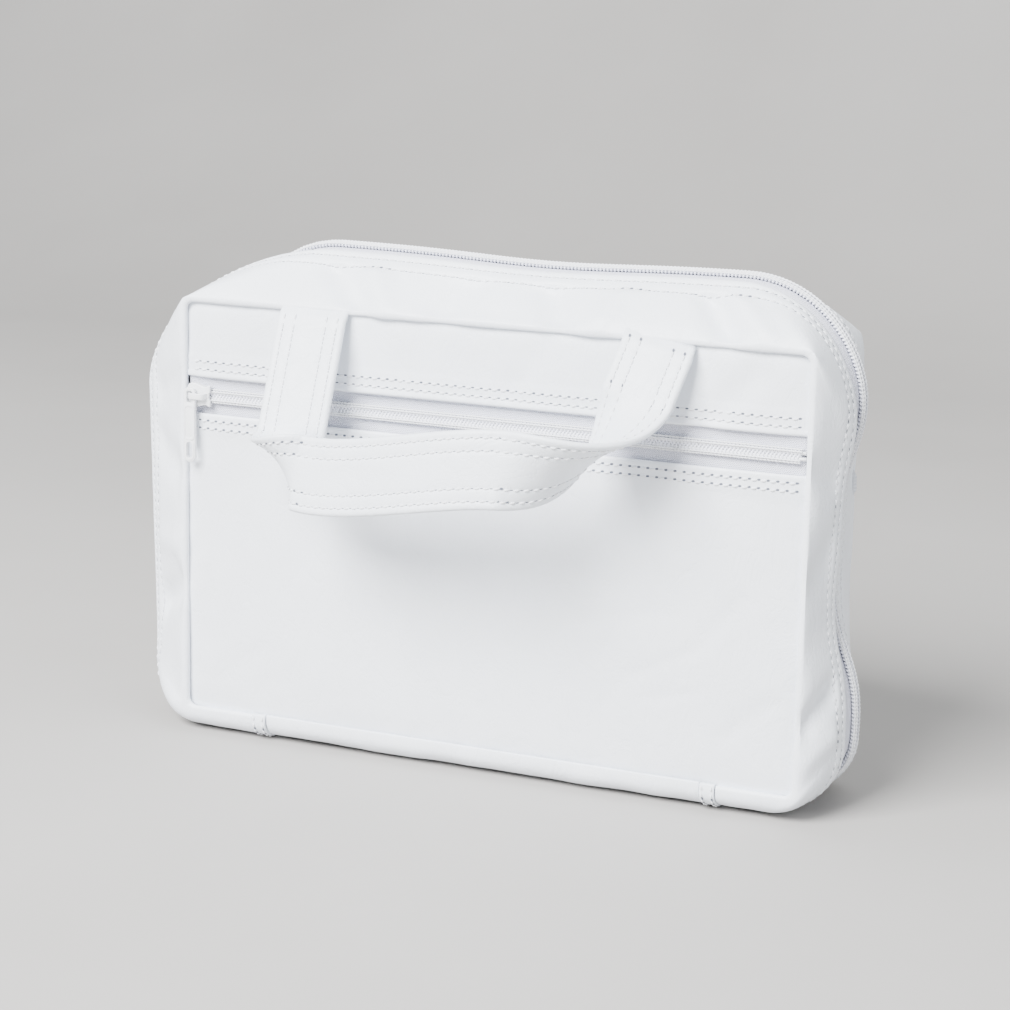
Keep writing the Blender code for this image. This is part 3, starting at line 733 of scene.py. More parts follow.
def gusset_grid(side):
    """One half of the gusset with its folds, puckers and stitched band."""
    grid, depth = gusset_rows(side)
    out = grid_normals(grid)
    if np.mean(np.sum(out * (grid - CASE_MIDDLE), -1)) < 0:
        out = -out
    # the free part of the cloth, between the seam's lip and the stitched band
    free = np.clip((HALF_DEPTH + LIP - depth) / (3 * MM), 0, 1) * np.clip(
        (depth - 13.5 * MM) / (3 * MM), 0, 1)
    free[:6] = 0.0
    lip = np.zeros(len(depth))
    lip[2:10] = (0.4, 0.8, 1.0, 1.0, 1.0, 0.9, 0.7, 0.4)
    seed = 2.0 if side < 0 else 5.0
    stretched = grid * np.array([1.0, 0.45, 1.0])
    move = free * (1.1 * rough(stretched, 0.034, seed) + 0.35 * rough(stretched, 0.013, seed + 1))
    move += lip * (0.45 * rough(grid, 0.022, seed + 2) + 0.18 * rough(grid, 0.008, seed + 3))
    for start, end, width, deep in (FRONT_FOLDS if side < 0 else BACK_FOLDS):
        away = near_segment(grid, on_cloth(grid, start), on_cloth(grid, end)) / (width * MM)
        move -= (1.9 * free + 0.8 * lip) * deep * np.exp(-away ** 2)
    for row in STITCH_ROWS_Y:
        move -= 0.28 * np.exp(-((depth - row) / (0.55 * MM)) ** 2)
    band = np.exp(-((depth - 12.9 * MM) / (1.3 * MM)) ** 2)
    hem = np.exp(-((depth - 9.6 * MM) / (0.9 * MM)) ** 2)
    move += 0.10 * band + 0.18 * hem
    move += 0.10 * rough(grid, 0.006, seed + 4) * (depth < 16 * MM)
    grid = grid + out * (move * MM)[..., None]
    return grid, out, depth


def make_gusset(side, body, node):
    grid, out, depth = gusset_grid(side)
    thing = soft_sheet(node + "_skin", grid, out[len(grid) // 2, len(grid[0]) // 2], VINYL,
                       [SKIN, LINING], body, 0.45 * MM)
    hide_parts(node)
    rows = []
    for row in STITCH_ROWS_Y:
        j = int(np.argmin([abs(y - row) for y in depth]))
        rows.append((grid[:, j], out[:, j]))
    stitches(node + "_topstitch", rows, body)


# ---- the panels ----
def edge_steps(low, high, step):
    """Places from low to high, closer together near both ends."""
    places = [low]
    while places[-1] < high - 0.2 * FINE_STEP:
        here = places[-1]
        nearest = min(here - low, max(high - here, 0.0))
        gap = min(step, FINE_STEP + STEP_GROWTH * nearest)
        places.append(min(here + gap, high))
    return np.array(places)


HEM_ROWS = (3.2 * MM, 6.4 * MM)


def crown(x, z, seed):
    """How far a panel stands out from its flat place, in mm."""
    left, right = x - PANEL_LEFT, PANEL_RIGHT - x
    low, high = z - SEAM_Z, PANEL_TOP - z
    edge = np.minimum(np.minimum(left, right), np.minimum(low, high))
    # a smooth corner instead of the sharp valley of the plain minimum
    soft = (np.exp(-left / 0.004) + np.exp(-right / 0.004) + np.exp(-low / 0.004)
            + np.exp(-high / 0.004))
    dip = -1.25 * np.clip(soft, 0, 1.35)
    pillow = 0.9 * (1 - np.exp(-np.maximum(edge, 0) / 0.016))
    flat = np.stack([x, np.zeros_like(x), z], -1)
    waves = 0.42 * rough(flat, 0.055, seed) + 0.16 * rough(flat, 0.020, seed + 1)
    pucker = 0.30 * np.exp(-np.maximum(edge, 0) / 0.009) * rough(flat, 0.009, seed + 2)
    return dip + pillow + waves + pucker


# faint creases in the front panel's lower right: start, end, width, depth in mm
FRONT_CREASES = [
    ((0.072, 0.050), (0.094, 0.062), 2.2, 0.32), ((0.078, 0.042), (0.100, 0.047), 2.0, 0.26),
    ((0.060, 0.036), (0.070, 0.052), 2.0, 0.22), ((0.098, 0.064), (0.116, 0.086), 3.5, 0.45),
    ((0.110, 0.030), (0.128, 0.046), 3.5, 0.5), ((0.050, 0.070), (0.088, 0.078), 4.0, 0.25),
    ((-0.112, 0.024), (-0.090, 0.040), 4.0, 0.35), ((0.096, 0.150), (0.118, 0.172), 5.0, 0.9),
    ((0.020, 0.160), (0.034, 0.178), 5.0, 0.5), ((-0.030, 0.162), (-0.040, 0.178), 5.0, 0.5),
]


def panel_grid(side, low, high, hem=None, seed=1.0, creases=()):
    """A panel's face as a grid; hem is the height of a folded edge on it."""
    xs = edge_steps(PANEL_LEFT, PANEL_RIGHT, 2.6 * MM)
    zs = edge_steps(low, high, 1.6 * MM)
    across = (xs - PANEL_X) / ((PANEL_RIGHT - PANEL_LEFT) / 2)
    grid = np.zeros((len(zs), len(xs), 3))
    for i, z in enumerate(zs):
        short = 0.0
        for at_seam, distance in ((low == SEAM_Z, z - SEAM_Z),
                                  (high == PANEL_TOP, PANEL_TOP - z)):
            if at_seam and distance < CORNER:
                short = CORNER - math.sqrt(max(CORNER ** 2 - (CORNER - distance) ** 2, 0.0))
        half = (PANEL_RIGHT - PANEL_LEFT) / 2 - short
        grid[i, :, 0] = PANEL_X + across * half
        grid[i, :, 2] = z
    x, z = grid[..., 0], grid[..., 2]
    out = crown(x, z, seed)
    flat = np.stack([x, np.zeros_like(x), z], -1)
    for (x0, z0), (x1, z1), width, deep in creases:
        away = near_segment(flat, (x0, 0, z0), (x1, 0, z1)) / (width * MM)
        out -= deep * np.exp(-away ** 2)
    if hem is not None:
        reach = np.abs(z - hem)
        out += 0.45 / (1 + np.exp((reach - 8.6 * MM) / (0.35 * MM)))
        out += 0.35 * np.exp(-((reach - 0.9 * MM) / (0.8 * MM)) ** 2)
        out -= 0.55 * np.exp(-(reach / (0.35 * MM)) ** 2)
        for row in HEM_ROWS:
            out -= 0.28 * np.exp(-((reach - row) / (0.6 * MM)) ** 2)
    grid[..., 1] = side * (HALF_DEPTH + out * MM)
    return grid


def line_on(grid, z, side, margin):
    """A level line across a panel's grid at height z, with its normals."""
    row = int(np.argmin(np.abs(grid[:, grid.shape[1] // 2, 2] - z)))
    line = grid[row].copy()
    keep = (line[:, 0] > PANEL_LEFT + margin) & (line[:, 0] < PANEL_RIGHT - margin)
    line = line[keep]
    line[:, 2] = z
    return line, np.tile([0.0, side, 0.0], (len(line), 1))


def make_panels():
    upper = panel_grid(-1, SLIT_HIGH, PANEL_TOP, SLIT_HIGH, 1.0, FRONT_CREASES)
    lower = panel_grid(-1, SEAM_Z, SLIT_LOW, SLIT_LOW, 1.0, FRONT_CREASES)
    back = panel_grid(1, SEAM_Z, PANEL_TOP, None, 8.0)
    for name, grid, side, body, node in (
            ("front_panel_upper_skin", upper, -1, "front_shell", "front_panel_upper"),
            ("front_panel_lower_skin", lower, -1, "front_shell", "front_panel_lower"),
            ("back_panel_skin", back, 1, "back_shell", "back_panel")):
        thing = soft_sheet(name, grid, (0, side, 0), VINYL, [SKIN], body, 0.5 * MM)
        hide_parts(node)
    rows = []
    for grid, edge, way in ((upper, SLIT_HIGH, 1), (lower, SLIT_LOW, -1)):
        for reach in HEM_ROWS:
            rows.append(line_on(grid, edge + way * reach, -1, 2.4 * MM))
    stitches("pocket_topstitch", rows, "front_shell")


def lining_sheet(name, node, body, outer):
    """A thin inner cloth in a CAD sheet's place, with soft puckers."""
    low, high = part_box(node)
    xs = np.linspace(low.x, high.x, 90)
    zs = np.linspace(low.z, high.z, 60)
    z, x = np.meshgrid(zs, xs, indexing="ij")
    flat = np.stack([x, np.zeros_like(x), z], -1)
    edge = np.minimum(np.minimum(x - low.x, high.x - x), np.minimum(z - low.z, high.z - z))
    away = np.clip(edge / 0.008, 0, 1)
    puff = (0.35 * rough(flat, 0.045, 11) + 0.12 * rough(flat, 0.014, 12)) * MM * away
    inner = low.y if outer > 0 else high.y
    y = inner - outer * (0.2 * MM + np.abs(puff))
    grid = np.stack([x, y, z], -1)
    thing = soft_sheet(name, grid, (0, -outer, 0), 0.6 * MM, [LINING], body, 0.0)
    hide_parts(node)


# ---- zips ----
def coil(name, path, up, side, body, node, phase):
    """One coil of a zip: a nylon wire wound in flattened turns along the path.

    path, up and side are the line between the two coils, the way out of the
    tape and the way towards this coil.
    """
    at = distances(path)
    per_turn = 10
    turns = int(at[-1] / COIL_PITCH) - 1
    t = np.arange(turns * per_turn + 1) / per_turn
    places = (t + 0.5 + phase) * COIL_PITCH
    middle, rise, across = sample(places, at, (path, up, side))
    angle = 2 * math.pi * t
    over, lift = np.cos(angle), np.sin(angle)
    centre = middle + across * ((1.16 + 1.38 * over) * MM)[:, None]
    centre += rise * ((0.66 * lift) * MM)[:, None]
    radial = unit(across * over[:, None] + rise * lift[:, None])
    thing = tube(name, centre, 0.43 * MM, 6, [NYLON], body, reference=radial)
    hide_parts(node)
    tube(name + "_filler", path + side * 1.15 * MM, 0.75 * MM, 6, [SEWING], body,
         reference=up)
    # the chain stitch that sews the coil to its tape, over every turn
    per = 4
    beads = np.arange(turns * per + 1) / per
    places = (beads + 0.5 + phase) * COIL_PITCH
    middle, rise, across = sample(places, at, (path, up, side))
    swell = 0.5 + 0.5 * np.cos(2 * math.pi * beads)
    for count, reach in enumerate((1.75, 2.6)):
        cord = middle + across * reach * MM
        cord += rise * ((1.0 + 0.14 * swell - 0.42 * count) * MM)[:, None]
        tube(name + "_sewing_" + "ab"[count], cord, (0.30 + 0.14 * swell) * MM, 6, [SEWING], body,
             reference=rise)


def zip_half(zip_name, half, grid, outer, path, up, sideways, body, phase):
    """One half of a zip: its woven tape and its coil."""
    node = zip_name + "_tape_" + half
    tape = soft_sheet(node + "_weave", grid, outer, TAPE_THICK, [TAPE_CLOTH], body, 0.0)
    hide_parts(node)
    node = zip_name + "_coil_" + half
    coil(node + "_turns", path + up * COIL_LIFT, up, sideways, body, node, phase)


def main_zip(side, body, half):
    """One half of the zip that runs round the case."""
    middle, hidden = crowned_outline(), zip_edge(side, VINYL + TAPE_UNDER)
    path = np.stack([middle[:, 0], np.zeros(len(middle)), middle[:, 1]], -1)
    edge = np.stack([hidden[:, 0], np.zeros(len(hidden)), hidden[:, 1]], -1)
    along = unit(np.gradient(path, axis=0))
    sideways = np.tile([0.0, side, 0.0], (len(path), 1))
    up = unit(np.cross(along, sideways))
    if np.mean(np.sum(up * (path - CASE_MIDDLE), -1)) < 0:
        up = -up
    # flat under the coil, then down to its place under the gusset's edge
    section = [(0.12, -0.05), (1.2, 0.0), (2.4, -0.02), (3.3, -0.14), (4.2, -0.10), (5.2, 0.0),
               (6.4, 0.0), (7.6, 0.0), (8.6, 0.0), (9.5, -0.2), (10.6, -0.9)]
    wobble = 0.10 * rough(path, 0.018, 20 + side)[:, None]
    columns = []
    for v, w in section:
        share = np.clip((v - 4.6) / 4.0, 0.0, 1.0) ** 1.3
        base = path + (edge - path) * share
        columns.append(base + sideways * v * MM + up * ((w + wobble * (v > 3)) * MM))
    grid = np.stack(columns, 1)
    zip_half("main", half, grid, up[len(path) // 2], path, up, sideways, body,
             0.0 if side < 0 else 0.5)


def pocket_zip():
    low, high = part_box("pocket_tape_upper")
    xs = np.linspace(low.x, high.x, 170)
    path = np.stack([xs, np.full(len(xs), low.y), np.full(len(xs), SLIT_Z)], -1)
    up = np.tile([0.0, -1.0, 0.0], (len(xs), 1))
    reach = high.z - SLIT_Z
    for side, half in ((1, "upper"), (-1, "lower")):
        sideways = np.tile([0.0, 0.0, side], (len(xs), 1))
        section = [(0.12, 0.0), (1.2, 0.05), (2.4, 0.0), (3.0, -0.12), (4.4, -0.10), (6.0, 0.05),
                   (7.4, 0.1), (8.8, 0.0), (reach / MM, 0.0)]
        ripple = 0.10 * rough(path, 0.02, 30 + side)[:, None]
        grid = np.stack([path + sideways * v * MM + up * ((w + ripple * (v > 3)) * MM)
                         for v, w in section], 1)
        zip_half("pocket", half, grid, (0, -1, 0), path, up, sideways,
                 "front_shell", 0.0 if side < 0 else 0.5)


# ---- sliders and pull tabs ----
def slider_plan():
    """The outline of the slider's plates: shoulders, waist and flanges."""
    half = [(-5.5, 1.4), (-5.35, 3.2), (-4.6, 4.6), (-3.2, 5.3), (-1.4, 5.2), (0.4, 4.5),
            (2.2, 4.0), (3.9, 3.9), (4.5, 4.4), (5.5, 4.5), (5.5, 2.0)]
    notch = [(5.5, -2.0), (4.9, -0.9), (4.9, 0.9), (5.5, 2.0)]
    other = [(x, -y) for x, y in reversed(half)]
    front = [(-5.5, -1.4), (-4.9, -0.6), (-4.9, 0.6), (-5.5, 1.4)]
    loop = half[:-1] + notch[::-1] + other[1:] + front[1:-1]
    return [(x * MM * SLIDER_SCALE, y * MM * SLIDER_SCALE) for x, y in loop]


def slider(name, node, crown_node, body, holder, top, bottom):
    """Top and bottom plates, side flanges, a neck between them and the arch."""
    plates = []
    for label, height, thick in (("top", top, 1.3), ("under", bottom, 1.1)):
        piece = plate(name + "_" + label + "_plate", [slider_plan()], thick * MM, 0.32 * MM,
                      [ENAMEL])
        piece.matrix_world = holder @ Matrix.Translation((0, 0, height))
        plates.append(piece)
    for side in (-1, 1):
        # each flange wraps from the top plate down beside the coil
        line = [(x, side * y) for x, y in ((-3.4, 4.85), (-1.4, 4.75), (0.4, 4.1), (2.2, 3.65),
                                          (3.9, 3.5), (5.0, 3.9))]
        points = []
        for x, y in line:
            for w, dy in ((top / MM - 0.2, 0.0), (0.95, 0.15), (0.75, -0.2), (0.8, -0.7),
                          (top / MM - 0.4, -0.85)):
                points.append(((x * MM), (y + side * dy) * MM, w * MM))
        piece = mesh_piece(name + ("_flange_near" if side < 0 else "_flange_far"), points,
                           capped_faces(len(line), 5), [ENAMEL])
        smooth_piece(piece, 0.2 * MM)
        piece.matrix_world = holder
        plates.append(piece)
    neck = plate(name + "_neck", [round_loop(-4.9 * MM, -2.6 * MM, -0.5 * MM, 0.5 * MM,
                                             [0.45 * MM] * 4)], top - bottom, 0.1 * MM, [ENAMEL])
    neck.matrix_world = holder @ Matrix.Translation((0, 0, (top + bottom) / 2))
    plates.append(neck)
    # the flat arch that holds the pull tab
    span, rise, wide, thick = 3.5 * MM, 2.75 * MM, 2.5 * MM, 0.85 * MM
    base = top + 0.5 * MM
    profile = [(-span - 0.5 * MM, -0.3 * MM), (-span, 0.8 * MM), (-span * 0.93, rise * 0.72),
               (-span * 0.66, rise), (0, rise * 1.05), (span * 0.66, rise),
               (span * 0.93, rise * 0.72), (span, 0.8 * MM), (span + 0.5 * MM, -0.3 * MM)]
    centre = np.array([(x, 0.0, base + z) for x, z in profile])
    arch = strip_solid(name + "_arch", centre, np.array([0.0, 1.0, 0.0]), wide, thick)
    arch.matrix_world = holder
    plates.append(arch)
    for piece in plates:
        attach(piece, body)
    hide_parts(node)
    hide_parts(crown_node)


def smooth_piece(thing, width, segments=2, angle=35):
    round_edges(thing, "edge", width, segments, angle)
    face_outwards(thing.data)
    thing.data.shade_smooth()


def strip_solid(name, centre, width_way, wide, thick):
    """A flat metal strip bent along a line of points."""
    along = unit(np.gradient(centre, axis=0))
    out = np.cross(width_way, along)
    points = []
    for c, o in zip(centre, out):
        for a, b in ((-1, -1), (1, -1), (1, 1), (-1, 1)):
            points.append(c + width_way * a * wide / 2 + o * b * thick / 2)
    thing = mesh_piece(name, points, capped_faces(len(centre), 4), [ENAMEL])
    smooth_piece(thing, 0.25 * MM, 3, 50)
    return thing


def pull_tab(name, node, body, place):
    """The pull tab: a plate with an eye and a slot, and a raised rim on each face."""
    long, half = 31.0 * MM, 2.65 * MM
    start = -0.75 * MM
    outer = round_loop(start, start + long, -half, half,
                       [half * 0.98, half * 0.75, half * 0.75, half * 0.98])
    eye = round_loop(0.75 * MM, 5.5 * MM, -1.35 * MM, 1.35 * MM, [0.9 * MM] * 4)
    hole = round_loop(21.8 * MM, 28.6 * MM, -1.35 * MM, 1.35 * MM, [1.3 * MM] * 4)
    base = plate(name + "_plate", [outer, eye, hole], 1.5 * MM, 0.35 * MM, [ENAMEL])
    base.matrix_world = place
    parts = [base]
    inset = 0.75 * MM
    inner = round_loop(7.2 * MM, 20.2 * MM, -half + inset, half - inset, [1.2 * MM] * 4)
    rim_loop = round_loop(6.2 * MM, 21.0 * MM, -half + 0.22 * MM, half - 0.22 * MM, [1.6 * MM] * 4)
    collar = round_loop(21.1 * MM, 29.4 * MM, -2.15 * MM, 2.15 * MM, [2.1 * MM] * 4)
    for label, loops in (("rim", [rim_loop, inner]), ("collar", [collar, hole])):
        for face in (-1, 1):
            ring = plate(name + "_" + label + ("_back" if face < 0 else "_front"), loops,
                         0.5 * MM, 0.12 * MM, [ENAMEL])
            ring.matrix_world = place @ Matrix.Translation((0, 0, face * 0.72 * MM))
            parts.append(ring)
    for piece in parts:
        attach(piece, body)
    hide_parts(node)


def frame_matrix(origin, x_way, y_way, z_way):
    turn = Matrix([x_way, y_way, z_way]).transposed().to_4x4()
    return Matrix.Translation(origin) @ turn


def pocket_slider():
    low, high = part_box("pocket_slider")
    centre = Vector(((low.x + high.x) / 2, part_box("pocket_tape_upper")[0].y, SLIT_Z))
    holder = frame_matrix(centre, (1, 0, 0), (0, 0, 1), (0, -1, 0))
    slider("pocket_slider", "pocket_slider", "pocket_slider_crown", "pocket_zip_slider", holder,
           3.35 * MM, -1.6 * MM)
    low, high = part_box("pocket_puller")
    middle = (low + high) / 2
    tab = frame_matrix(Vector((middle.x, middle.y, high.z - 0.65 * MM)), (0, 0, -1), (1, 0, 0),
                       (0, -1, 0))
    pull_tab("pocket_pull", "pocket_puller", "pocket_zip_pull", tab)


def main_slider():
    rise = Vector((BULGE_LEFT_LOW - BULGE_LEFT_HIGH, 0.0,
                   PANEL_TOP + BULGE_TOP - 2 * VALLEY)).normalized()
    across = Vector((0, 1, 0))
    out = rise.cross(across)
    low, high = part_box("main_slider")
    middle = (low + high) / 2
    centre = middle - out * 0.55 * MM
    holder = frame_matrix(centre, rise, across, out)
    slider("main_slider", "main_slider", "main_slider_crown", "main_zip_slider", holder,
           3.2 * MM, -1.9 * MM)
    low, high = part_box("main_puller")
    middle = (low + high) / 2
    tab = frame_matrix(Vector((middle.x, 0.0, high.z - 0.65 * MM)), (0, 0, -1), (0, 1, 0),
                       (1, 0, 0))
    pull_tab("main_pull", "main_puller", "main_zip_pull", tab)


# ---- strap handles ----
STRAP_WIDTH = 30 * MM
STRAP_THICK = 2.9 * MM
STRAP_SPACING = 146 * MM
# a leg's length, its roll's radius, then angles: lean, roll, slant of the fold, sideways
TIGHT_END = (46 * MM, 6.5 * MM, 22.0, 165.0, 41.0, 0.0)
LOOSE_END = (20 * MM, 14.0 * MM, 23.0, 165.0, 37.0, 13.0)
STRAP_HINGE = (PANEL_X, 32.0 * MM, 179.0 * MM)


def strap_end(side, settings):
    """Stations of one leg and its roll, as middle, direction and width axis."""
    leg, radius, lean, turn, fold, sideways = settings
    lean, turn, fold, sideways = (math.radians(a) for a in (lean, turn, fold, sideways))
    middle = Vector((-side * STRAP_SPACING / 2, 0.0, 0.0))
    along = Vector((0.0, -math.sin(lean), -math.cos(lean)))
    width = Vector((side, 0.0, 0.0))
    lean_turn = Matrix.Rotation(sideways, 3, along.cross(width))
    along, width = lean_turn @ along, lean_turn @ width
    # the strap comes out of the seam and bends down into the leg
    stations = [(middle + Vector((0, y, z)) * MM, Vector((0, *way)).normalized(), width.copy())
                for y, z, way in ((4.6, 5.2, (-0.9, -0.45)), (2.9, 3.6, (-0.7, -0.7)),
                                  (1.2, 1.7, (-0.58, -0.81)))]
    stations.append((middle.copy(), along.copy(), width.copy()))
    leg_steps = 14
    for _ in range(leg_steps):
        middle = middle + along * leg / leg_steps
        stations.append((middle.copy(), along.copy(), width.copy()))
    roll_steps = 34
    length = turn * radius / math.sin(fold)
    for _ in range(roll_steps):
        axis = along * math.cos(fold) + width * math.sin(fold)
        half_turn = Matrix.Rotation(-side * turn / roll_steps / 2, 3, axis)
        middle = middle + half_turn @ along * length / roll_steps
        along = half_turn @ half_turn @ along
        width = half_turn @ half_turn @ width
        stations.append((middle.copy(), along.copy(), width.copy()))
    return stations


def strap_stations():
    left = strap_end(1, TIGHT_END)
    right = strap_end(-1, LOOSE_END)
    start, start_along, start_width = left[-1]
    end, end_along, end_width = right[-1]
    pull = (end - start).length * 0.8
    leave, arrive = start_along * pull, -end_along * pull
    grip = []
    steps = 44
    for k in range(1, steps):
        s = k / steps
        middle = (start * (2 * s**3 - 3 * s**2 + 1) + leave * (s**3 - 2 * s**2 + s)
                  + end * (3 * s**2 - 2 * s**3) + arrive * (s**3 - s**2))
        along = (start * (6 * s**2 - 6 * s) + leave * (3 * s**2 - 4 * s + 1)
                 + end * (6 * s - 6 * s**2) + arrive * (3 * s**2 - 2 * s)).normalized()
        width = start_width.lerp(end_width, s)
        width = (width - along * width.dot(along)).normalized()
        grip.append((middle, along, width))
    back = [(middle, -along, width) for middle, along, width in reversed(right)]
    return left + grip + back


STRAP_ROWS = (3.2 * MM, 8.0 * MM)


def strap_profile():
    """The folded strap's section: (across, out) points of one closed ring."""
    half, thick = STRAP_WIDTH / 2, STRAP_THICK / 2
    across = [-15, -14.7, -14.1, -13.2, -12.3, -11.8, -11.3, -10, -8.4, -7.5, -7.0, -6.5, -5, -2.5]
    across = [a * MM for a in across] + [0.0] + [-a * MM for a in reversed(across)]
    top = []
    for a in across:
        edge = half - abs(a)
        height = thick * math.sqrt(max(1 - max(1 - edge / (1.5 * MM), 0.0) ** 2, 0.0))
        for row in STRAP_ROWS:
            height -= 0.30 * MM * math.exp(-((edge - row) / (0.55 * MM)) ** 2)
        top.append((a, height))
    under = [(a, -height) for a, height in reversed(top[1:-1])]
    return top + under


def make_strap(side, node):
    """A strap sewn into the top seam; side is -1 in front and 1 behind."""
    stations = strap_stations()
    profile = strap_profile()
    hinge = np.array(STRAP_HINGE) * (1, side, 1)
    mirror = np.array([1.0, 1.0, 1.0]) if side < 0 else np.array([-1.0, -1.0, 1.0])
    rings, uv = [], []
    rows = {(u, face): [] for u in (-11.8, -7.0, 7.0, 11.8) for face in (-1, 1)}
    travelled = 0.0
    last = None
    count = len(stations)
    for k, (middle, along, width) in enumerate(stations):
        middle, along, width = (np.array(v) for v in (middle, along, width))
        out = np.cross(along, width)
        travelled += np.linalg.norm(middle - last) if last is not None else 0.0
        last = middle
        ends = min(k, count - 1 - k)
        thin = (0.45, 0.7, 0.9)[ends] if ends < 3 else 1.0
        ring = []
        for u, v in profile:
            flat = np.array([travelled, u, 0.0])
            puff = noise.noise(Vector(flat / 0.022 + 3.1)) * 0.16 * MM
            puff += noise.noise(Vector(flat / 0.006 + 9.7)) * 0.07 * MM
            bow = noise.noise(Vector((travelled / 0.05, 4.2, side))) * 0.35 * MM
            centre_share = 1 - abs(u) / (STRAP_WIDTH / 2)
            ring.append(middle + width * u + out * (v * thin + (1 if v > 0 else -1) * puff
                                                     * centre_share + bow * centre_share))
            uv.append((travelled, u + (0.05 if v < 0 else 0.0)))
        rings.append(ring)
        for (u, face), line in rows.items():
            index = min(range(len(profile)), key=lambda q: abs(profile[q][0] - u * MM)
                        + (0 if profile[q][1] * face > 0 else 1))
            line.append((ring[index], out * face))
    rings = np.array(rings) * mirror + hinge
    thing = mesh_piece(node + "_strap", rings.reshape(-1, 3), capped_faces(count, len(profile)),
                       [SKIN_STRAP_PAINTED_SHADE], uv)
    face_outwards(thing.data)
    lines = []
    for (u, face), line in rows.items():
        places = np.array([p for p, _ in line]) * mirror + hinge
        outs = np.array([o for _, o in line]) * mirror
        lines.append((places[2:-2], outs[2:-2]))
    # the strap's stitches and the discs of painted shadow at their pricks
    thread, prick_shadows = stitches(node + "_topstitch", lines, None, 3.8 * MM)
    for piece in (thing, thread, prick_shadows):
        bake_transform(piece)
    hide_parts(node)


# ---- the base ----
def base_section(lip):
    """(y, z) across the base from the front seam to the back seam."""
    crest = HALF_DEPTH + lip
    half = [(HALF_DEPTH - 0.8 * MM, SEAM_Z + 0.1 * MM), (HALF_DEPTH + 0.4 * MM, SEAM_Z + 1.2 * MM),
            (crest - 0.3 * MM, SEAM_Z + 0.9 * MM)]
    for k in range(1, BASE_COLUMNS + 1):
        angle = math.pi / 2 * k / BASE_COLUMNS
        share = math.sin(angle) ** (2 / BASE_FULLNESS)
        along = 1 - max(math.cos(angle), 0.0) ** (2 / BASE_FULLNESS)
        half.append((crest + (WINDOW - crest) * along, SEAM_Z * (1 - share)))
    return [(-y, z) for y, z in half] + [(0.0, 0.0)] + [(y, z) for y, z in reversed(half)]


def base_grid(xs, lip, seed, amount=1.0):
    section = base_section(lip)
    grid = np.array([[(x, y, z) for y, z in section] for x in xs])
    out = grid_normals(grid)
    out = out * np.sign(np.mean(out[:, len(section) // 2, 2]) * -1 or 1)
    free = np.clip((SEAM_Z - grid[..., 2]) / (4 * MM), 0, 1) * np.clip(
        grid[..., 2] / (1.5 * MM), 0, 1)
    move = amount * (0.6 * rough(grid, 0.03, seed) + 0.3 * rough(grid, 0.011, seed + 1)) * free
    lip_zone = np.clip((np.abs(grid[..., 1]) - HALF_DEPTH) / (1.0 * MM), 0, 1)
    move += amount * 0.35 * rough(grid, 0.014, seed + 2) * lip_zone
    grid = grid + out * (move * MM)[..., None]
    grid[..., 2] = np.maximum(grid[..., 2], 0.0)
    return grid, out


def make_base():
    low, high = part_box("bottom_gusset")
    xs = np.linspace(low.x, high.x, 90)
    grid, _ = base_grid(xs, LIP, 40)
    thing = soft_sheet("bottom_gusset_skin", grid, (0, 0, -1), VINYL, [SKIN, LINING],
                       "back_shell", 0.3 * MM)
    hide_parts("bottom_gusset")
    for name in ("zip_end_tab_left", "zip_end_tab_right"):
        low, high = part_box(name)
        xs = np.linspace(low.x, high.x, 7)
        grid, out = base_grid(xs, 2.5 * MM, 50, 0.4)
        tab = soft_sheet(name + "_fold", grid, (0, 0, -1), 1.6 * MM, [SKIN], "back_shell",
                         0.6 * MM)
        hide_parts(name)
        rows = []
        for x in (low.x + 1.4 * MM, high.x - 1.4 * MM):
            column = int(np.argmin(np.abs(xs - x)))
            for part in (slice(2, 13), slice(-13, -2)):
                rows.append((grid[column, part], out[column, part]))
        stitches(name + "_stitches", rows, "back_shell", 3.2 * MM)


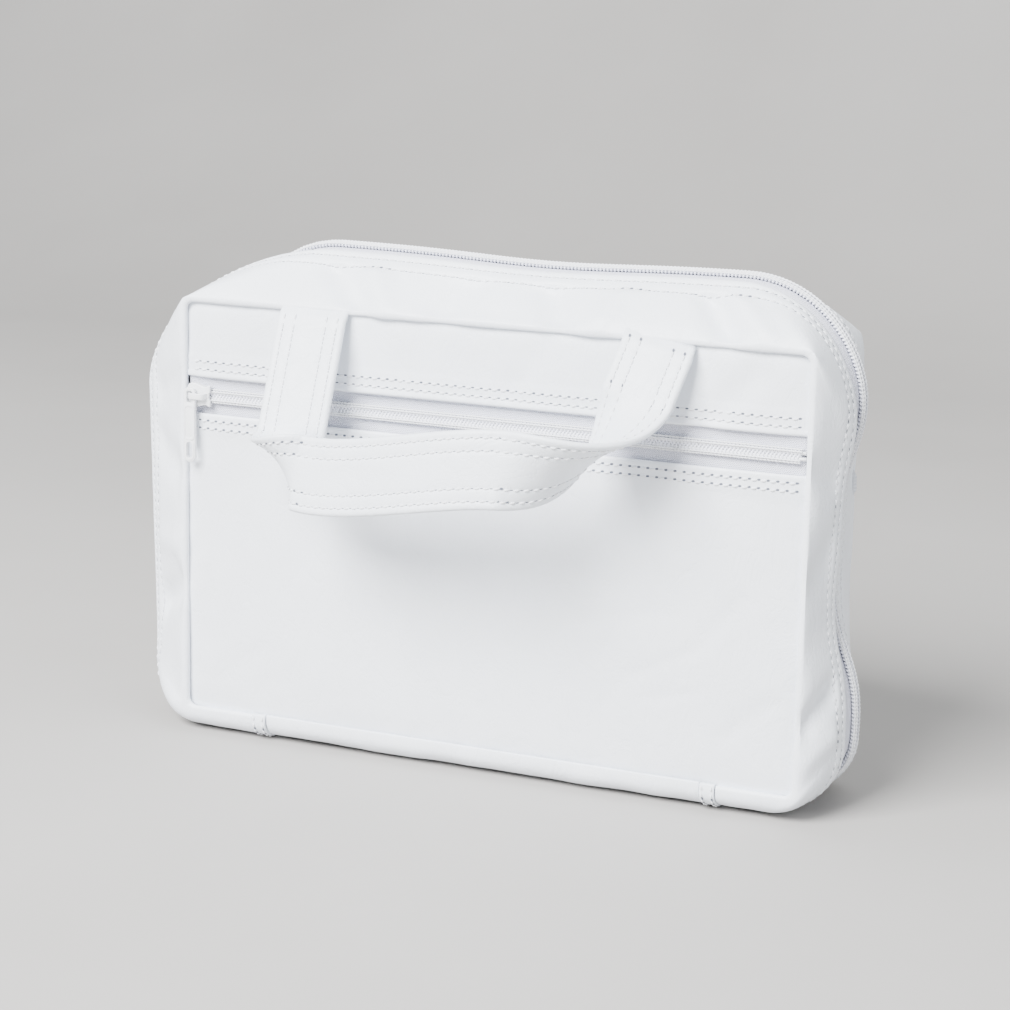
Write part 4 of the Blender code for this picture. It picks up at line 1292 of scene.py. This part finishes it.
# ---- floor, light and camera ----
def studio():
    size, rise = 3.2, 1.6
    profile = [(-size, 0.0)] + [(y, 0.0) for y in (-1.0, 0.0, 0.6)]
    bend = 0.7
    for k in range(13):
        angle = math.pi / 2 * k / 12
        profile.append((0.9 + bend * math.sin(angle), bend * (1 - math.cos(angle))))
    profile.append((0.9 + bend, bend + rise))
    points = [(x, y, z) for x in (-size, 0.0, size) for y, z in profile]
    faces = grid_faces(3, len(profile))[:, ::-1]
    floor = mesh_piece("studio_floor", points, faces, [floor_paint("pale_floor")])

    def area(name, place, target, size, power, colour):
        data = bpy.data.lights.new(name, "AREA")
        data.shape = "RECTANGLE"
        data.size, data.size_y = size
        data.energy = power
        data.color = colour
        lamp = bpy.data.objects.new(name, data)
        LOOKS.objects.link(lamp)
        lamp.location = place
        way = Vector(target) - Vector(place)
        lamp.rotation_euler = way.to_track_quat("-Z", "Y").to_euler()

    area("key", (-0.5, -1.5, 1.45), (0, 0, 0.08), (1.3, 1.1), 205.0, (0.98, 0.99, 1.0))
    area("side_fill", (1.7, -0.7, 0.8), (0, 0, 0.1), (1.2, 1.2), 16.0, (0.93, 0.97, 1.0))
    area("over", (0.1, 0.3, 1.8), (0, 0, 0.1), (1.6, 1.6), 18.0, (0.94, 0.975, 1.0))
    world = bpy.data.worlds.new("studio_air")
    world.use_nodes = True
    sky = world.node_tree.nodes["Background"]
    sky.inputs["Color"].default_value = (0.90, 0.95, 1.0, 1.0)
    sky.inputs["Strength"].default_value = 0.5
    bpy.context.scene.world = world


def camera():
    yaw, pitch, roll = (math.radians(angle) for angle in (23.62, 12.63, 1.13))
    distance = 1.0878
    target = Vector((PANEL_X - 0.0019, 0.0, 0.1054))
    back = Vector((math.sin(yaw) * math.cos(pitch), -math.cos(yaw) * math.cos(pitch),
                   math.sin(pitch)))
    data = bpy.data.cameras.new("view")
    data.lens = 96.24
    data.sensor_width = 36.0
    data.clip_start = 0.05
    lens = bpy.data.objects.new("view", data)
    LOOKS.objects.link(lens)
    lens.location = target + back * distance
    turn = (-back).to_track_quat("-Z", "Y").to_matrix() @ Matrix.Rotation(roll, 3, "Z")
    lens.rotation_euler = turn.to_euler()
    bpy.context.scene.camera = lens


def repaint(node, paint):
    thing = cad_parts[node]
    if not thing.data.materials:
        thing.data.materials.append(paint)
    for slot in thing.material_slots:
        slot.material = paint


camera()
studio()
make_gusset(-1, "front_shell", "front_gusset")
make_gusset(1, "back_shell", "back_gusset")
make_base()
make_panels()
lining_sheet("front_lining_cloth", "front_lining", "front_shell", -1)
lining_sheet("back_lining_cloth", "back_lining", "back_shell", 1)
lining_sheet("pocket_wall_cloth", "pocket_back_wall", "front_shell", -1)
repaint("front_stiffener_board", BOARD)
repaint("back_stiffener_board", BOARD)
main_zip(-1, "front_shell", "front")
main_zip(1, "back_shell", "back")
pocket_zip()
pocket_slider()
main_slider()
make_strap(-1, "front_handle")
make_strap(1, "back_handle")
